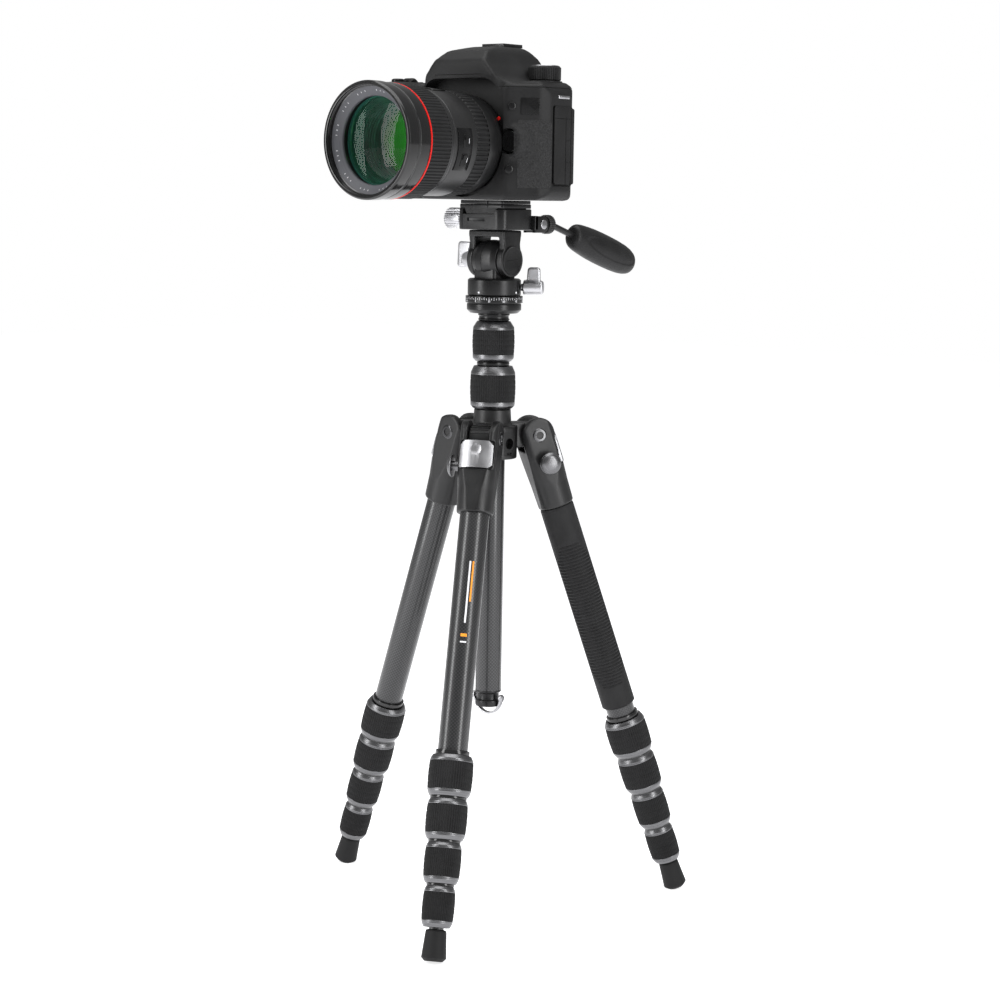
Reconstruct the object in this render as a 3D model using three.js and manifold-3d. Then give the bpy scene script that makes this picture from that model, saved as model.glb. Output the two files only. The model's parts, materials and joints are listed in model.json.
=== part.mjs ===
// A digital camera with a zoom lens on a small travel tripod with a pan-and-tilt head.
// Millimetres, +Z up. The lens points along -Y and +X is the camera's own left side.
import * as THREE from 'three';
import { mergeVertices } from 'three/addons/utils/BufferGeometryUtils.js';
import Module from 'manifold-3d';

const wasm = await Module();
wasm.setup();

// ---- Driving dimensions -------------------------------------------------------------

const gap = 0.3;                 // clearance between neighbouring pieces
const roundSteps = 16;           // facets around tubes and collars
const smallSteps = 10;           // facets around small round pieces
const wideSteps = 24;            // facets around the lens and the head

// Tripod legs, measured from the hinge along the leg.
const firstLegTurn = 27;         // azimuth of the front leg, degrees from -Y towards +X
const legSplay = 19;             // angle of each leg from the vertical
const hingeRadius = 33.3;        // column axis to hinge axis
const legLength = 384.6;         // hinge to the end of the foot
const earRadius = 13;            // side profile of the casting around the hinge
const castingWidth = 29;
const castingLength = 58;        // hinge to the lower rim of the casting
const castingEndRadius = 13.7;
const castingTopRadius = 17.2;   // rounds the corners of the ears
const tongueWidth = 16.6;        // spider tongue between the casting's ears
const tongueRadius = 9.5;
const boltRadius = 3.1;
const boltHeadRadius = 5.6;
const boltHeadHeight = 1.6;
const latchWidth = 25;
const latchHeight = 20.5;
const latchTop = 5;              // hinge to the latch's upper edge
const latchDepth = 4;
const buttonDrop = 22;           // hinge to the release button's axis
const buttonStemRadius = 3.7;
const buttonHeadRadius = 8.5;
const buttonHeadHeight = 4;
const buttonStandOff = 5.6;      // casting side to the button's head
const buttonTravel = 3;
const tubeRadius = 11;           // upper leg tube
const tubeWall = 1.1;
const tubeTop = 33;              // hinge to the upper end of the upper tube
const nestStep = 1.5;            // each nested tube starts this much lower
const firstCollarTop = 237.2;
const collarPitch = 31.2;
const collarHeight = 29.8;
const collarRadii = [16.35, 15.1, 13.45, 11.8];
const collarLip = 2.4;           // chamfered metal ring at each end of a collar
const footTopRadius = 7.65;
const footEndRadius = 9.05;
const footHeight = 22.2;
const footRound = 2.5;
const footFlat = 0.7;            // how far the rubber flattens on the ground

// Spider and centre column, measured from the hinge plane.
const spiderRadius = 19.2;
const spiderBelow = 18;
const spiderAbove = 7;
const spiderNeckRadius = 13.9;
const spiderNeckTop = 19.6;
const accessoryHoleRadius = 4.2;
const accessoryHoleDepth = 6;
const columnRadius = 10;
const columnWall = 1.1;
const columnBelow = 197.7;       // hinge plane to the lower end of the column tube
const columnCapHeight = 11.5;
const columnCapRadius = 8.9;
const columnCapNeck = 8.2;
const lowerCollarRadius = 17.2;
const lowerCollarHeight = 32;
const columnFlangeRadius = 12.35;
const columnFlangeHeight = 3;
const upperCollarRadius = 15.95;
const upperCollarHeight = 30.2;
const columnNeckRadius = 12;
const columnNeckHeight = 5.6;
const innerColumnRadius = 8.6;
const innerColumnBelow = 140;
const hookPivotRise = 6.8;       // cap bottom to the hook's pivot
const hookRadius = 13.6;
const hookStrip = 1.5;
const hookWidth = 4;

// Pan-and-tilt head.
const baseRadius = 20.5;
const baseHeight = 7.8;
const scaleRadius = 21.55;
const scaleHeight = 5.2;
const panRadius = 20.05;
const panHeight = 12.6;
const tiltRise = 13.7;           // top of the pan body to the tilt axis
const tiltBarrelRadius = 15.2;
const tiltEarRadius = 12.8;
const tiltEarOuter = 17.4;       // tilt axis centre to the outer face of an ear
const tiltEarThickness = 5.6;
const yokeTopRise = 22.3;        // tilt axis to the top of the yoke
const yokeBlockHeight = 4.9;
const yokeBlockDepth = 21;
const clampWidth = 46;
const clampDepth = 38;
const clampHeight = 15.7;
const clampCorner = 7;
const channelDepth = 4.1;        // dovetail channel
const dovetailTop = 13.8;        // half width of the dovetail at the clamp's top face
const dovetailFoot = 15.8;       // half width of the dovetail at its foot
const jawLine = 16.4;
const clampKnobRadius = 8;
const clampKnobLength = 15.5;
const plateWidth = 43;
const plateDepth = 34;
const plateHeight = 5.9;
const handleX = 20;              // handle pivot, from the column axis
const handleY = 26;
const handlePivotRise = 4.4;     // clamp bottom to the handle's pivot
const handleForkRadius = 6.4;
const handleCollarRadius = 7.2;
const handleDroop = 17;
const handleRodRadius = 2.4;
const handleRodLength = 27;
const handleGripLength = 80;
const handleGripRadius = 12.4;
const panKnobTurn = 120;         // azimuth of the pan lock
const knobReach = 15;

// Camera body, measured from its base and from the column axis.
const cameraRight = 63;          // side face with the socket covers
const cameraLeft = -85;          // hand grip side
const cameraBack = 18;
const cameraMountFace = -35;
const bodyHeight = 81;
const topPlateHeight = 5.4;
const rearCoverDepth = 7.5;
const lensRise = 40.5;           // camera base to the lens axis
const prismTop = 112.5;
const prismFront = -43.5;
const shoeWidth = 21;
const shoeDepth = 22;
const dialRadius = 12.2;
const dialHeight = 11;
const dialX = 41;
const dialY = 5;
const wheelRadius = 17;
const wheelX = -56;
const wheelRise = 30;
const housingRadius = 41;        // round housing behind the lens mount
const lensButtonRadius = 8.5;
const lensButtonX = 41;
const portWidth = 19;
const portHeight = 57;
const portRise = 40;

// Lens, measured from the mount face along the lens axis.
const lensBaseRadius = 36;
const lensBandRadius = 38.5;
const lensSleeveRadius = 35.2;
const lensBore = 33.8;
const lensRingGap = 0.7;         // running clearance under the two lens rings
const focusRingStart = 16.3;
const focusRingLength = 13.9;
const focusRingRadius = 38.2;
const bandLength = 30;
const zoomRingLength = 21;
const zoomRingRadius = 40.7;
const frontRadius = 41.8;
const lensLength = 107.3;
const frontRimRadius = 38.6;     // filter thread
const glassRadius = 30.5;
const glassSetBack = 11;

// ---- Geometry helpers ---------------------------------------------------------------

const degrees = THREE.MathUtils.degToRad;
const alongXBasis = new THREE.Matrix4().makeBasis(
  new THREE.Vector3(0, 1, 0), new THREE.Vector3(0, 0, 1), new THREE.Vector3(1, 0, 0));
const alongYBasis = new THREE.Matrix4().makeBasis(
  new THREE.Vector3(1, 0, 0), new THREE.Vector3(0, 0, 1), new THREE.Vector3(0, -1, 0));

function signedVolume(geometry) {
  const position = geometry.attributes.position;
  const index = geometry.index.array;
  const corners = [new THREE.Vector3(), new THREE.Vector3(), new THREE.Vector3()];
  let total = 0;
  for (let i = 0; i < index.length; i += 3) {
    corners.forEach((corner, k) => corner.fromBufferAttribute(position, index[i + k]));
    total += corners[0].dot(corners[1].clone().cross(corners[2]));
  }
  return total / 6;
}

// Merge shared vertices, drop flat triangles and face the surface outwards.
function closed(geometry) {
  const bare = geometry.clone();
  bare.deleteAttribute('normal');
  bare.deleteAttribute('uv');
  const merged = mergeVertices(bare, 1e-4);
  const index = merged.index.array;
  const kept = [];
  for (let i = 0; i < index.length; i += 3) {
    const [a, b, c] = [index[i], index[i + 1], index[i + 2]];
    if (a !== b && b !== c && c !== a) kept.push(a, b, c);
  }
  merged.setIndex(kept);
  if (signedVolume(merged) < 0) {
    for (let i = 0; i < kept.length; i += 3) [kept[i], kept[i + 1]] = [kept[i + 1], kept[i]];
    merged.setIndex(kept);
  }
  return merged;
}

function toSolid(geometry) {
  const vertProperties = new Float32Array(geometry.attributes.position.array);
  const triVerts = new Uint32Array(geometry.index.array);
  return new wasm.Manifold(new wasm.Mesh({ numProp: 3, vertProperties, triVerts }));
}

function toGeometry(solid) {
  const mesh = solid.getMesh();
  const geometry = new THREE.BufferGeometry();
  geometry.setAttribute('position', new THREE.BufferAttribute(new Float32Array(mesh.vertProperties), 3));
  geometry.setIndex(Array.from(mesh.triVerts));
  return geometry;
}

function join(first, ...rest) {
  return toGeometry(rest.reduce((solid, other) => solid.add(toSolid(other)), toSolid(first)));
}

function cut(first, ...rest) {
  return toGeometry(rest.reduce((solid, other) => solid.subtract(toSolid(other)), toSolid(first)));
}

function meet(first, ...rest) {
  return toGeometry(rest.reduce((solid, other) => solid.intersect(toSolid(other)), toSolid(first)));
}

function box(x0, x1, y0, y1, z0, z1) {
  const geometry = new THREE.BoxGeometry(x1 - x0, y1 - y0, z1 - z0);
  geometry.translate((x0 + x1) / 2, (y0 + y1) / 2, (z0 + z1) / 2);
  return closed(geometry);
}

// Revolve [radius, height] points about Z. A profile off the axis closes on itself.
function turned(points, steps = roundSteps) {
  const profile = points.map(([radius, height]) => new THREE.Vector2(radius, height));
  if (points[0][0] > 0) profile.push(profile[0].clone());
  return closed(new THREE.LatheGeometry(profile, steps).rotateX(Math.PI / 2));
}

const towardsX = (geometry) => geometry.rotateY(Math.PI / 2);
const towardsFront = (geometry) => geometry.rotateX(Math.PI / 2);

function cylinder(radius, z0, z1, steps = smallSteps) {
  return turned([[0, z0], [radius, z0], [radius, z1], [0, z1]], steps);
}

// A closed outline through [x, y, corner radius] points.
function outline(points) {
  const shape = new THREE.Shape();
  const count = points.length;
  points.forEach(([x, y, radius = 0], i) => {
    const corner = new THREE.Vector2(x, y);
    const before = new THREE.Vector2(...points[(i + count - 1) % count].slice(0, 2)).sub(corner);
    const after = new THREE.Vector2(...points[(i + 1) % count].slice(0, 2)).sub(corner);
    const start = corner.clone().addScaledVector(before.clone().normalize(), radius);
    const end = corner.clone().addScaledVector(after.clone().normalize(), radius);
    if (i === 0) shape.moveTo(start.x, start.y);
    else shape.lineTo(start.x, start.y);
    if (radius > 0) shape.quadraticCurveTo(x, y, end.x, end.y);
  });
  shape.closePath();
  return shape;
}

function extruded(shape, depth, steps = 4, bevel = 0) {
  return new THREE.ExtrudeGeometry(shape, {
    depth: depth - 2 * bevel,
    curveSegments: steps,
    bevelEnabled: bevel > 0,
    bevelThickness: bevel,
    bevelSize: bevel,
    bevelOffset: -bevel,
    bevelSegments: 1,
  }).translate(0, 0, bevel);
}

// Extrude a (y, z) outline from x0 to x1.
function acrossX(shape, x0, x1, steps = 4, bevel = 0) {
  return closed(extruded(shape, x1 - x0, steps, bevel).applyMatrix4(alongXBasis).translate(x0, 0, 0));
}

// Extrude an (x, z) outline from y0 to y1.
function acrossY(shape, y0, y1, steps = 4, bevel = 0) {
  return closed(extruded(shape, y1 - y0, steps, bevel).applyMatrix4(alongYBasis).translate(0, y1, 0));
}

// Extrude an (x, y) outline from z0 to z1.
function upwards(shape, z0, z1, steps = 4, bevel = 0) {
  return closed(extruded(shape, z1 - z0, steps, bevel).translate(0, 0, z0));
}

// A round end of the given radius that runs on down to a straight cut.
function tombstone(radius, length) {
  const shape = new THREE.Shape();
  shape.moveTo(-radius, -length);
  shape.lineTo(radius, -length);
  shape.lineTo(radius, 0);
  shape.absarc(0, 0, radius, 0, Math.PI, false);
  shape.lineTo(-radius, -length);
  return shape;
}

// ---- Materials ----------------------------------------------------------------------

function finish(color, roughness, metalness) {
  return () => new THREE.MeshStandardMaterial({ color, roughness, metalness });
}

const blackMetal = finish(0x1a1b1c, 0.4, 0.7);
const satinBlack = finish(0x232426, 0.5, 0.3);
const silver = finish(0xc9cacb, 0.35, 1);
const carbon = finish(0x3a3b3c, 0.35, 0.2);
const rubber = finish(0x161617, 0.8, 0);
const bodyPlastic = finish(0x1d1e1f, 0.55, 0);
const glossBlack = finish(0x0c0c0d, 0.2, 0);
const coatedGlass = finish(0x1d4a34, 0.05, 0);

const model = new THREE.Group();

function part(name, geometry, material, parent = model) {
  const mesh = new THREE.Mesh(geometry, material());
  mesh.name = name;
  parent.add(mesh);
  return mesh;
}

// ---- Spider -------------------------------------------------------------------------

// Height of the hinge plane above the ground: the foot's rounded edge, flattened a little.
const splay = degrees(legSplay);
const hingeHeight = (legLength - footRound) * Math.cos(splay)
  + (footEndRadius - footRound) * Math.sin(splay) + footRound - footFlat;
const legTurns = [0, 1, 2].map((i) => firstLegTurn + i * 120);
const legNames = ['front', 'right', 'left'];

const chassis = new THREE.Group();
chassis.position.z = hingeHeight;
model.add(chassis);

function spider() {
  const hub = turned([
    [columnRadius + gap, -spiderBelow],
    [spiderRadius - 2, -spiderBelow],
    [spiderRadius, -spiderBelow + 2],
    [spiderRadius, spiderAbove - 2],
    [spiderNeckRadius + 2.5, spiderAbove],
    [spiderNeckRadius, spiderAbove + 4],
    [spiderNeckRadius, spiderNeckTop],
    [columnRadius + gap, spiderNeckTop],
  ]);
  const tongues = legTurns.map((turn) => {
    const profile = tombstone(tongueRadius, hingeRadius - spiderRadius + 4);
    const tongue = acrossX(profile, -tongueWidth / 2, tongueWidth / 2, 8);
    const bore = towardsX(cylinder(boltRadius + gap, -tongueWidth, tongueWidth));
    return cut(tongue, bore)
      .rotateX(Math.PI / 2)
      .translate(0, -hingeRadius, 0)
      .rotateZ(degrees(turn));
  });
  const hole = cylinder(accessoryHoleRadius, spiderRadius - accessoryHoleDepth, spiderRadius + 5);
  const holeTurn = degrees(firstLegTurn + 60);
  const flat = box(-12, 12, -spiderRadius - 5, -spiderRadius + 1.2, -spiderBelow - 1, spiderAbove - 2);
  const flats = legTurns.map((turn) => flat.clone().rotateZ(degrees(turn + 60)));
  return cut(join(hub, ...tongues), ...flats, towardsFront(hole).translate(0, 0, -6).rotateZ(holeTurn));
}

part('spider', spider(), blackMetal, chassis);

// ---- Legs ---------------------------------------------------------------------------

// Outer envelope of a casting: wide at the hinge, tapering to the round lower rim.
function castingEnvelope() {
  return turned([
    [0, earRadius + 2],
    [castingTopRadius, earRadius + 2],
    [castingTopRadius, -16],
    [castingEndRadius + 0.8, -40],
    [castingEndRadius, -castingLength],
    [0, -castingLength],
  ], wideSteps);
}

function casting() {
  const side = acrossX(tombstone(earRadius + 0.2, castingLength), -castingWidth / 2, castingWidth / 2, 8);
  const slot = box(-tongueWidth / 2 - gap, tongueWidth / 2 + gap, -20, 20,
    -tongueRadius - 0.7, earRadius + 5);
  const socket = cylinder(tubeRadius + gap, -castingLength - 1, -tubeTop + gap, roundSteps);
  const bolt = towardsX(cylinder(boltRadius + gap, -castingWidth, castingWidth));
  const headSeat = boltHeadHeight + 0.1 + gap;
  const seats = [-1, 1].map((way) => towardsX(
    cylinder(boltHeadRadius + gap, -headSeat, headSeat)).translate(way * castingWidth / 2, 0, 0));
  const pocket = box(-latchWidth / 2 - gap, latchWidth / 2 + gap, -30, -earRadius + latchDepth - 0.9,
    -latchTop - latchHeight - gap, -latchTop + gap);
  const buttonBore = towardsX(cylinder(buttonStemRadius + gap, -castingWidth, -8.7))
    .translate(0, 0, -buttonDrop);
  return cut(meet(side, castingEnvelope()), slot, socket, bolt, ...seats, pocket, buttonBore);
}

function hingeBolt() {
  const half = castingWidth / 2 - 0.1;
  return towardsX(turned([
    [0, -half],
    [boltHeadRadius, -half],
    [boltHeadRadius, -half + boltHeadHeight],
    [boltRadius, -half + boltHeadHeight],
    [boltRadius, half - boltHeadHeight],
    [boltHeadRadius, half - boltHeadHeight],
    [boltHeadRadius, half],
    [0, half],
  ], smallSteps));
}

function angleLatch() {
  const back = -earRadius + latchDepth - 0.9 - gap;
  const blank = box(-latchWidth / 2, latchWidth / 2, -30, back, -latchTop - latchHeight, -latchTop);
  const face = turned([
    [0, 0],
    [earRadius + 3, 0],
    [earRadius + 3, -2 * castingLength],
    [0, -2 * castingLength],
  ]).scale(1.3, 1, 1);
  return meet(blank, face);
}

function releaseButton() {
  const side = castingWidth / 2;
  const headStart = side + buttonStandOff;
  return towardsX(turned([
    [0, -headStart - buttonHeadHeight],
    [buttonHeadRadius * 0.6, -headStart - buttonHeadHeight * 0.85],
    [buttonHeadRadius * 0.92, -headStart - buttonHeadHeight * 0.45],
    [buttonHeadRadius, -headStart],
    [buttonStemRadius, -headStart],
    [buttonStemRadius, -side + buttonTravel - 0.5],
    [0, -side + buttonTravel - 0.5],
  ], roundSteps)).translate(0, 0, -buttonDrop);
}

const stepRadius = tubeWall + gap;
const sectionRadius = (n) => tubeRadius - n * stepRadius;
const collarTop = (n) => firstCollarTop + (n - 1) * collarPitch;
const lowerBore = (n) => sectionRadius(n) + gap;

function upperTube() {
  const end = -collarTop(1) - collarHeight + 8;
  return turned([
    [tubeRadius - tubeWall, -tubeTop],
    [tubeRadius, -tubeTop],
    [tubeRadius, end],
    [tubeRadius - tubeWall, end],
  ]);
}

// Outer profile of a twist collar from top to bottom.
function collarOutside(radius, neck, top, height) {
  return [
    [neck, top],
    [radius - 1, top - 0.6],
    [radius, top - collarLip],
    [radius, top - height + collarLip],
    [radius - 1, top - height + 0.6],
    [neck, top - height],
  ];
}

function firstCollar() {
  const top = -collarTop(1);
  const shoulder = top - collarHeight + 8 - gap;
  return turned([
    [tubeRadius + gap, top],
    ...collarOutside(collarRadii[0], collarRadii[0] - 2.2, top, collarHeight),
    [lowerBore(1), top - collarHeight],
    [lowerBore(1), shoulder],
    [tubeRadius + gap, shoulder],
  ]);
}

// Section n is a tube nested in the one above, with its own twist collar on its lower end.
function legSection(n) {
  const radius = sectionRadius(n - 1);
  const top = -collarTop(n);
  const tubeEnd = -tubeTop - gap - (n - 1) * nestStep;
  return turned([
    [lowerBore(n), tubeEnd],
    [radius, tubeEnd],
    [radius, top],
    ...collarOutside(collarRadii[n - 1], collarRadii[n - 1] - 2.2, top, collarHeight),
    [lowerBore(n), top - collarHeight],
  ]);
}

function footSection() {
  const radius = sectionRadius(4);
  const tubeEnd = -tubeTop - gap - 4 * nestStep;
  const footTop = -legLength + footHeight;
  const foot = turned([
    [0, footTop - 2],
    [radius - tubeWall, footTop - 2],
    [radius - tubeWall, tubeEnd],
    [radius, tubeEnd],
    [radius, footTop],
    [footTopRadius, footTop],
    [footEndRadius, -legLength + footRound],
    [footEndRadius - footRound * 0.29, -legLength + footRound * 0.29],
    [footEndRadius - footRound, -legLength],
    [0, -legLength],
  ]);
  const footY = -legLength * Math.sin(splay);
  const ground = box(-20, 20, footY - 30, footY + 30, -hingeHeight - 20, -hingeHeight).rotateX(splay);
  return cut(foot, ground);
}

const legPieces = {
  casting: casting(),
  bolt: hingeBolt(),
  latch: angleLatch(),
  button: releaseButton(),
  tube: upperTube(),
  collar: firstCollar(),
  section2: legSection(2),
  section3: legSection(3),
  section4: legSection(4),
  foot: footSection(),
};

legTurns.forEach((turn, i) => {
  const around = new THREE.Group();
  around.rotation.z = degrees(turn);
  chassis.add(around);
  const leg = new THREE.Group();
  leg.position.y = -hingeRadius;
  leg.rotation.x = -splay;
  around.add(leg);
  const name = legNames[i];
  part(`${name}_leg_casting`, legPieces.casting, satinBlack, leg);
  part(`${name}_hinge_bolt`, legPieces.bolt, blackMetal, leg);
  part(`${name}_angle_latch`, legPieces.latch, silver, leg);
  part(`${name}_release_button`, legPieces.button, silver, leg);
  part(`${name}_upper_tube`, legPieces.tube, carbon, leg);
  part(`${name}_twist_collar`, legPieces.collar, rubber, leg);
  part(`${name}_leg_section_2`, legPieces.section2, carbon, leg);
  part(`${name}_leg_section_3`, legPieces.section3, carbon, leg);
  part(`${name}_leg_section_4`, legPieces.section4, carbon, leg);
  part(`${name}_foot_section`, legPieces.foot, rubber, leg);
});

// ---- Centre column ------------------------------------------------------------------

const lowerCollarBottom = spiderNeckTop + gap;
const flangeBottom = lowerCollarBottom + lowerCollarHeight + gap;
const upperCollarBottom = flangeBottom + columnFlangeHeight + gap;
const neckBottom = upperCollarBottom + upperCollarHeight + gap;
const baseBottom = neckBottom + columnNeckHeight + gap;
const columnTubeTop = upperCollarBottom + upperCollarHeight - 6;
const capBottom = -columnBelow - columnCapHeight;
const hookPivot = capBottom + hookPivotRise;

// Both column collars ride on the column tube; the upper one closes over the inner column.
function columnCollar(radius, neck, bottom, height, shoulder, topBore) {
  const bore = columnRadius + gap;
  return turned([
    [bore, bottom],
    [bore, shoulder],
    [topBore, shoulder],
    [topBore, bottom + height],
    ...collarOutside(radius, neck, bottom + height, height),
  ]);
}

const lowerCollarMiddle = lowerCollarBottom + lowerCollarHeight / 2;
part('lower_column_collar', columnCollar(lowerCollarRadius, lowerCollarRadius - 2.6,
  lowerCollarBottom, lowerCollarHeight, lowerCollarMiddle, columnRadius + gap + 0.2), rubber, chassis);
part('upper_column_collar', columnCollar(upperCollarRadius, upperCollarRadius - 3.4,
  upperCollarBottom, upperCollarHeight, columnTubeTop + gap, innerColumnRadius + gap), rubber, chassis);

function columnTube() {
  const inside = columnRadius - columnWall;
  const plugTop = -columnBelow + 4;
  const tube = turned([
    [0, capBottom],
    [columnCapRadius - 1, capBottom],
    [columnCapRadius, capBottom + 1],
    [columnCapRadius, capBottom + 5],
    [columnCapNeck, capBottom + 6],
    [columnCapNeck, -columnBelow - 1],
    [columnRadius, -columnBelow + 1],
    [columnRadius, flangeBottom],
    [columnFlangeRadius, flangeBottom],
    [columnFlangeRadius, flangeBottom + columnFlangeHeight],
    [columnRadius, flangeBottom + columnFlangeHeight],
    [columnRadius, columnTubeTop],
    [inside, columnTubeTop],
    [inside, plugTop],
    [0, plugTop],
  ]);
  const reach = hookRadius - hookStrip - gap;
  const pivot = towardsX(cylinder(2.4, -reach, reach)).translate(0, 0, hookPivot);
  return join(tube, pivot);
}

part('column_tube', columnTube(), carbon, chassis);

part('inner_column', turned([
  [0, -innerColumnBelow],
  [innerColumnRadius, -innerColumnBelow],
  [innerColumnRadius, neckBottom],
  [columnNeckRadius, neckBottom],
  [columnNeckRadius, neckBottom + columnNeckHeight],
  [0, neckBottom + columnNeckHeight],
]), blackMetal, chassis);

function hook() {
  const bail = new THREE.Shape();
  bail.moveTo(hookRadius, 2.4);
  bail.lineTo(hookRadius, 0);
  bail.absarc(0, 0, hookRadius, 0, -Math.PI, true);
  bail.lineTo(-hookRadius, 2.4);
  bail.lineTo(-hookRadius + hookStrip, 2.4);
  bail.lineTo(-hookRadius + hookStrip, 0);
  bail.absarc(0, 0, hookRadius - hookStrip, Math.PI, 2 * Math.PI, false);
  bail.lineTo(hookRadius - hookStrip, 2.4);
  bail.closePath();
  return acrossY(bail, -hookWidth / 2, hookWidth / 2, 8).translate(0, 0, hookPivot);
}

part('weight_hook', hook(), silver, chassis);

// ---- Pan-and-tilt head --------------------------------------------------------------

const scaleBottom = baseBottom + baseHeight;
const panBottom = scaleBottom + scaleHeight + gap;
const panTop = panBottom + panHeight;
const tiltAxis = panTop + tiltRise;
const yokeTop = tiltAxis + yokeTopRise;
const clampBottom = yokeTop + gap;
const clampTop = clampBottom + clampHeight;
const plateBottom = clampTop + gap;
const plateTop = plateBottom + plateHeight;

part('head_base', turned([
  [0, baseBottom],
  [baseRadius - 2.5, baseBottom],
  [baseRadius, baseBottom + 2.5],
  [baseRadius, scaleBottom - 0.5],
  [baseRadius - 0.8, scaleBottom],
  [scaleRadius, scaleBottom + 0.5],
  [scaleRadius, scaleBottom + scaleHeight],
  [0, scaleBottom + scaleHeight],
]), blackMetal, chassis);

function panBody() {
  const disc = turned([
    [0, panBottom],
    [panRadius, panBottom],
    [panRadius, panTop - 1.2],
    [panRadius - 1.2, panTop],
    [0, panTop],
  ]);
  const inner = tiltEarOuter - tiltEarThickness - gap;
  const barrel = towardsX(turned([
    [0, -inner],
    [tiltBarrelRadius - 1.8, -inner],
    [tiltBarrelRadius - 0.4, -inner / 2],
    [tiltBarrelRadius, 0],
    [tiltBarrelRadius - 0.4, inner / 2],
    [tiltBarrelRadius - 1.8, inner],
    [0, inner],
  ])).translate(0, 0, tiltAxis);
  const pedestal = box(-inner, inner, -11, 11, panTop - 1, tiltAxis);
  return join(disc, barrel, pedestal);
}

part('pan_body', panBody(), blackMetal, chassis);

// A lock knob along +Z from its seat: stem, round hub and one or two wings.
function wingKnob(stemRadius, stemLength, hubRadius, hubLength, wing) {
  const hub = turned([
    [0, gap],
    [stemRadius, gap],
    [stemRadius, stemLength],
    [hubRadius, stemLength],
    [hubRadius, stemLength + hubLength - 1],
    [hubRadius - 1, stemLength + hubLength],
    [0, stemLength + hubLength],
  ], smallSteps);
  return join(hub, wing);
}

const panKnobStem = 2.3;
const panWing = acrossX(outline([
  [-3, panKnobStem + 2],
  [-3, panKnobStem + knobReach - 2],
  [15.2, panKnobStem + knobReach - 2.5, 1.5],
  [15.2, panKnobStem + 3, 1.5],
]), -2.1, 2.1, 2).rotateZ(-Math.PI / 2);
const panKnob = wingKnob(2.8, panKnobStem, 5.7, knobReach, panWing)
  .rotateZ(Math.PI / 2)
  .rotateX(Math.PI / 2);
const panKnobGroup = new THREE.Group();
panKnobGroup.rotation.z = degrees(panKnobTurn);
chassis.add(panKnobGroup);
part('pan_lock_knob', panKnob.translate(0, -panRadius, panBottom + panHeight / 2), silver, panKnobGroup);

function tiltYoke() {
  const blockBottom = yokeTop - yokeBlockHeight;
  const inner = tiltEarOuter - tiltEarThickness;
  const half = yokeBlockDepth / 2;
  const ears = [-1, 1].map((way) => {
    const [x0, x1] = [way * inner, way * tiltEarOuter].sort((p, q) => p - q);
    const disc = towardsX(cylinder(tiltEarRadius, x0, x1, wideSteps)).translate(0, 0, tiltAxis);
    const waist = acrossX(outline([
      [-half + 1, tiltAxis + 4],
      [half - 1, tiltAxis + 4],
      [half - 1.5, tiltAxis + 12, 2],
      [half, blockBottom + 1],
      [-half, blockBottom + 1],
      [-half + 1.5, tiltAxis + 12, 2],
    ]), x0, x1, 2);
    return join(disc, waist);
  });
  return join(box(-tiltEarOuter, tiltEarOuter, -half, half, blockBottom, yokeTop), ...ears);
}

part('tilt_yoke', tiltYoke(), blackMetal, chassis);

const tiltWing = acrossX(outline([
  [-13, 6, 1.5],
  [-14, 17, 1.5],
  [14, 21, 1.5],
  [15, 9, 1.5],
]), -2.4, 2.4, 2);
const tiltKnob = wingKnob(3.6, 4, 6.4, 9, tiltWing)
  .rotateZ(degrees(-42))
  .rotateY(-Math.PI / 2)
  .translate(-tiltEarOuter, 0, tiltAxis);
part('tilt_lock_knob', tiltKnob, silver, chassis);

// The clamp's plan with rounded corners, cut down to one side of the jaw line.
function clampPlan(z0, z1) {
  const [x, y, r] = [clampWidth / 2, clampDepth / 2, clampCorner];
  return upwards(outline([[-x, -y, r], [x, -y, r], [x, y, r], [-x, y, r]]), z0, z1, 3);
}

const channelFloor = clampTop - channelDepth;

function clampBody() {
  const [x, y] = [clampWidth / 2 + 1, clampDepth / 2 + 1];
  const channel = acrossY(outline([
    [-dovetailFoot - 20, channelFloor],
    [dovetailFoot + gap, channelFloor],
    [dovetailTop + gap, clampTop + 0.01],
    [dovetailTop + gap, clampTop + 5],
    [-dovetailFoot - 20, clampTop + 5],
  ]), -y, y);
  const jawRoom = box(-x, -jawLine + gap, -y, y, clampBottom - 1, clampTop + 1);
  const body = cut(clampPlan(clampBottom, clampTop), channel, jawRoom);
  const pivotZ = clampBottom + handlePivotRise;
  const earInner = 2.8;
  const earOuter = 5.9;
  const forkStart = clampDepth / 2 - 3;
  const ears = [-1, 1].map((way) => {
    const [a, b] = [way * earInner, way * earOuter].sort((p, q) => p - q);
    const ear = acrossX(tombstone(handleForkRadius, handleY - forkStart), a, b, 6);
    return ear.rotateX(-Math.PI / 2).translate(handleX, handleY, pivotZ);
  });
  const pin = towardsX(cylinder(1.6, -earOuter + 0.5, earOuter - 0.5)).translate(handleX, handleY, pivotZ);
  const root = box(handleX - earOuter, handleX + earOuter, forkStart, clampDepth / 2 + 0.2,
    clampBottom, pivotZ + handleForkRadius);
  return join(body, root, ...ears, pin);
}

part('clamp_body', clampBody(), blackMetal, chassis);

function clampJaw() {
  const y = clampDepth / 2 + 1;
  const profile = acrossY(outline([
    [-clampWidth, clampBottom],
    [-jawLine, clampBottom],
    [-jawLine, channelFloor + gap],
    [-dovetailTop - gap, clampTop],
    [-clampWidth, clampTop],
  ]), -y, y);
  const screwBore = towardsX(cylinder(3 + gap, -clampWidth, 0)).translate(0, 0, clampBottom + clampHeight / 2);
  return cut(meet(clampPlan(clampBottom, clampTop), profile), screwBore);
}

part('clamp_jaw', clampJaw(), blackMetal, chassis);

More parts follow.
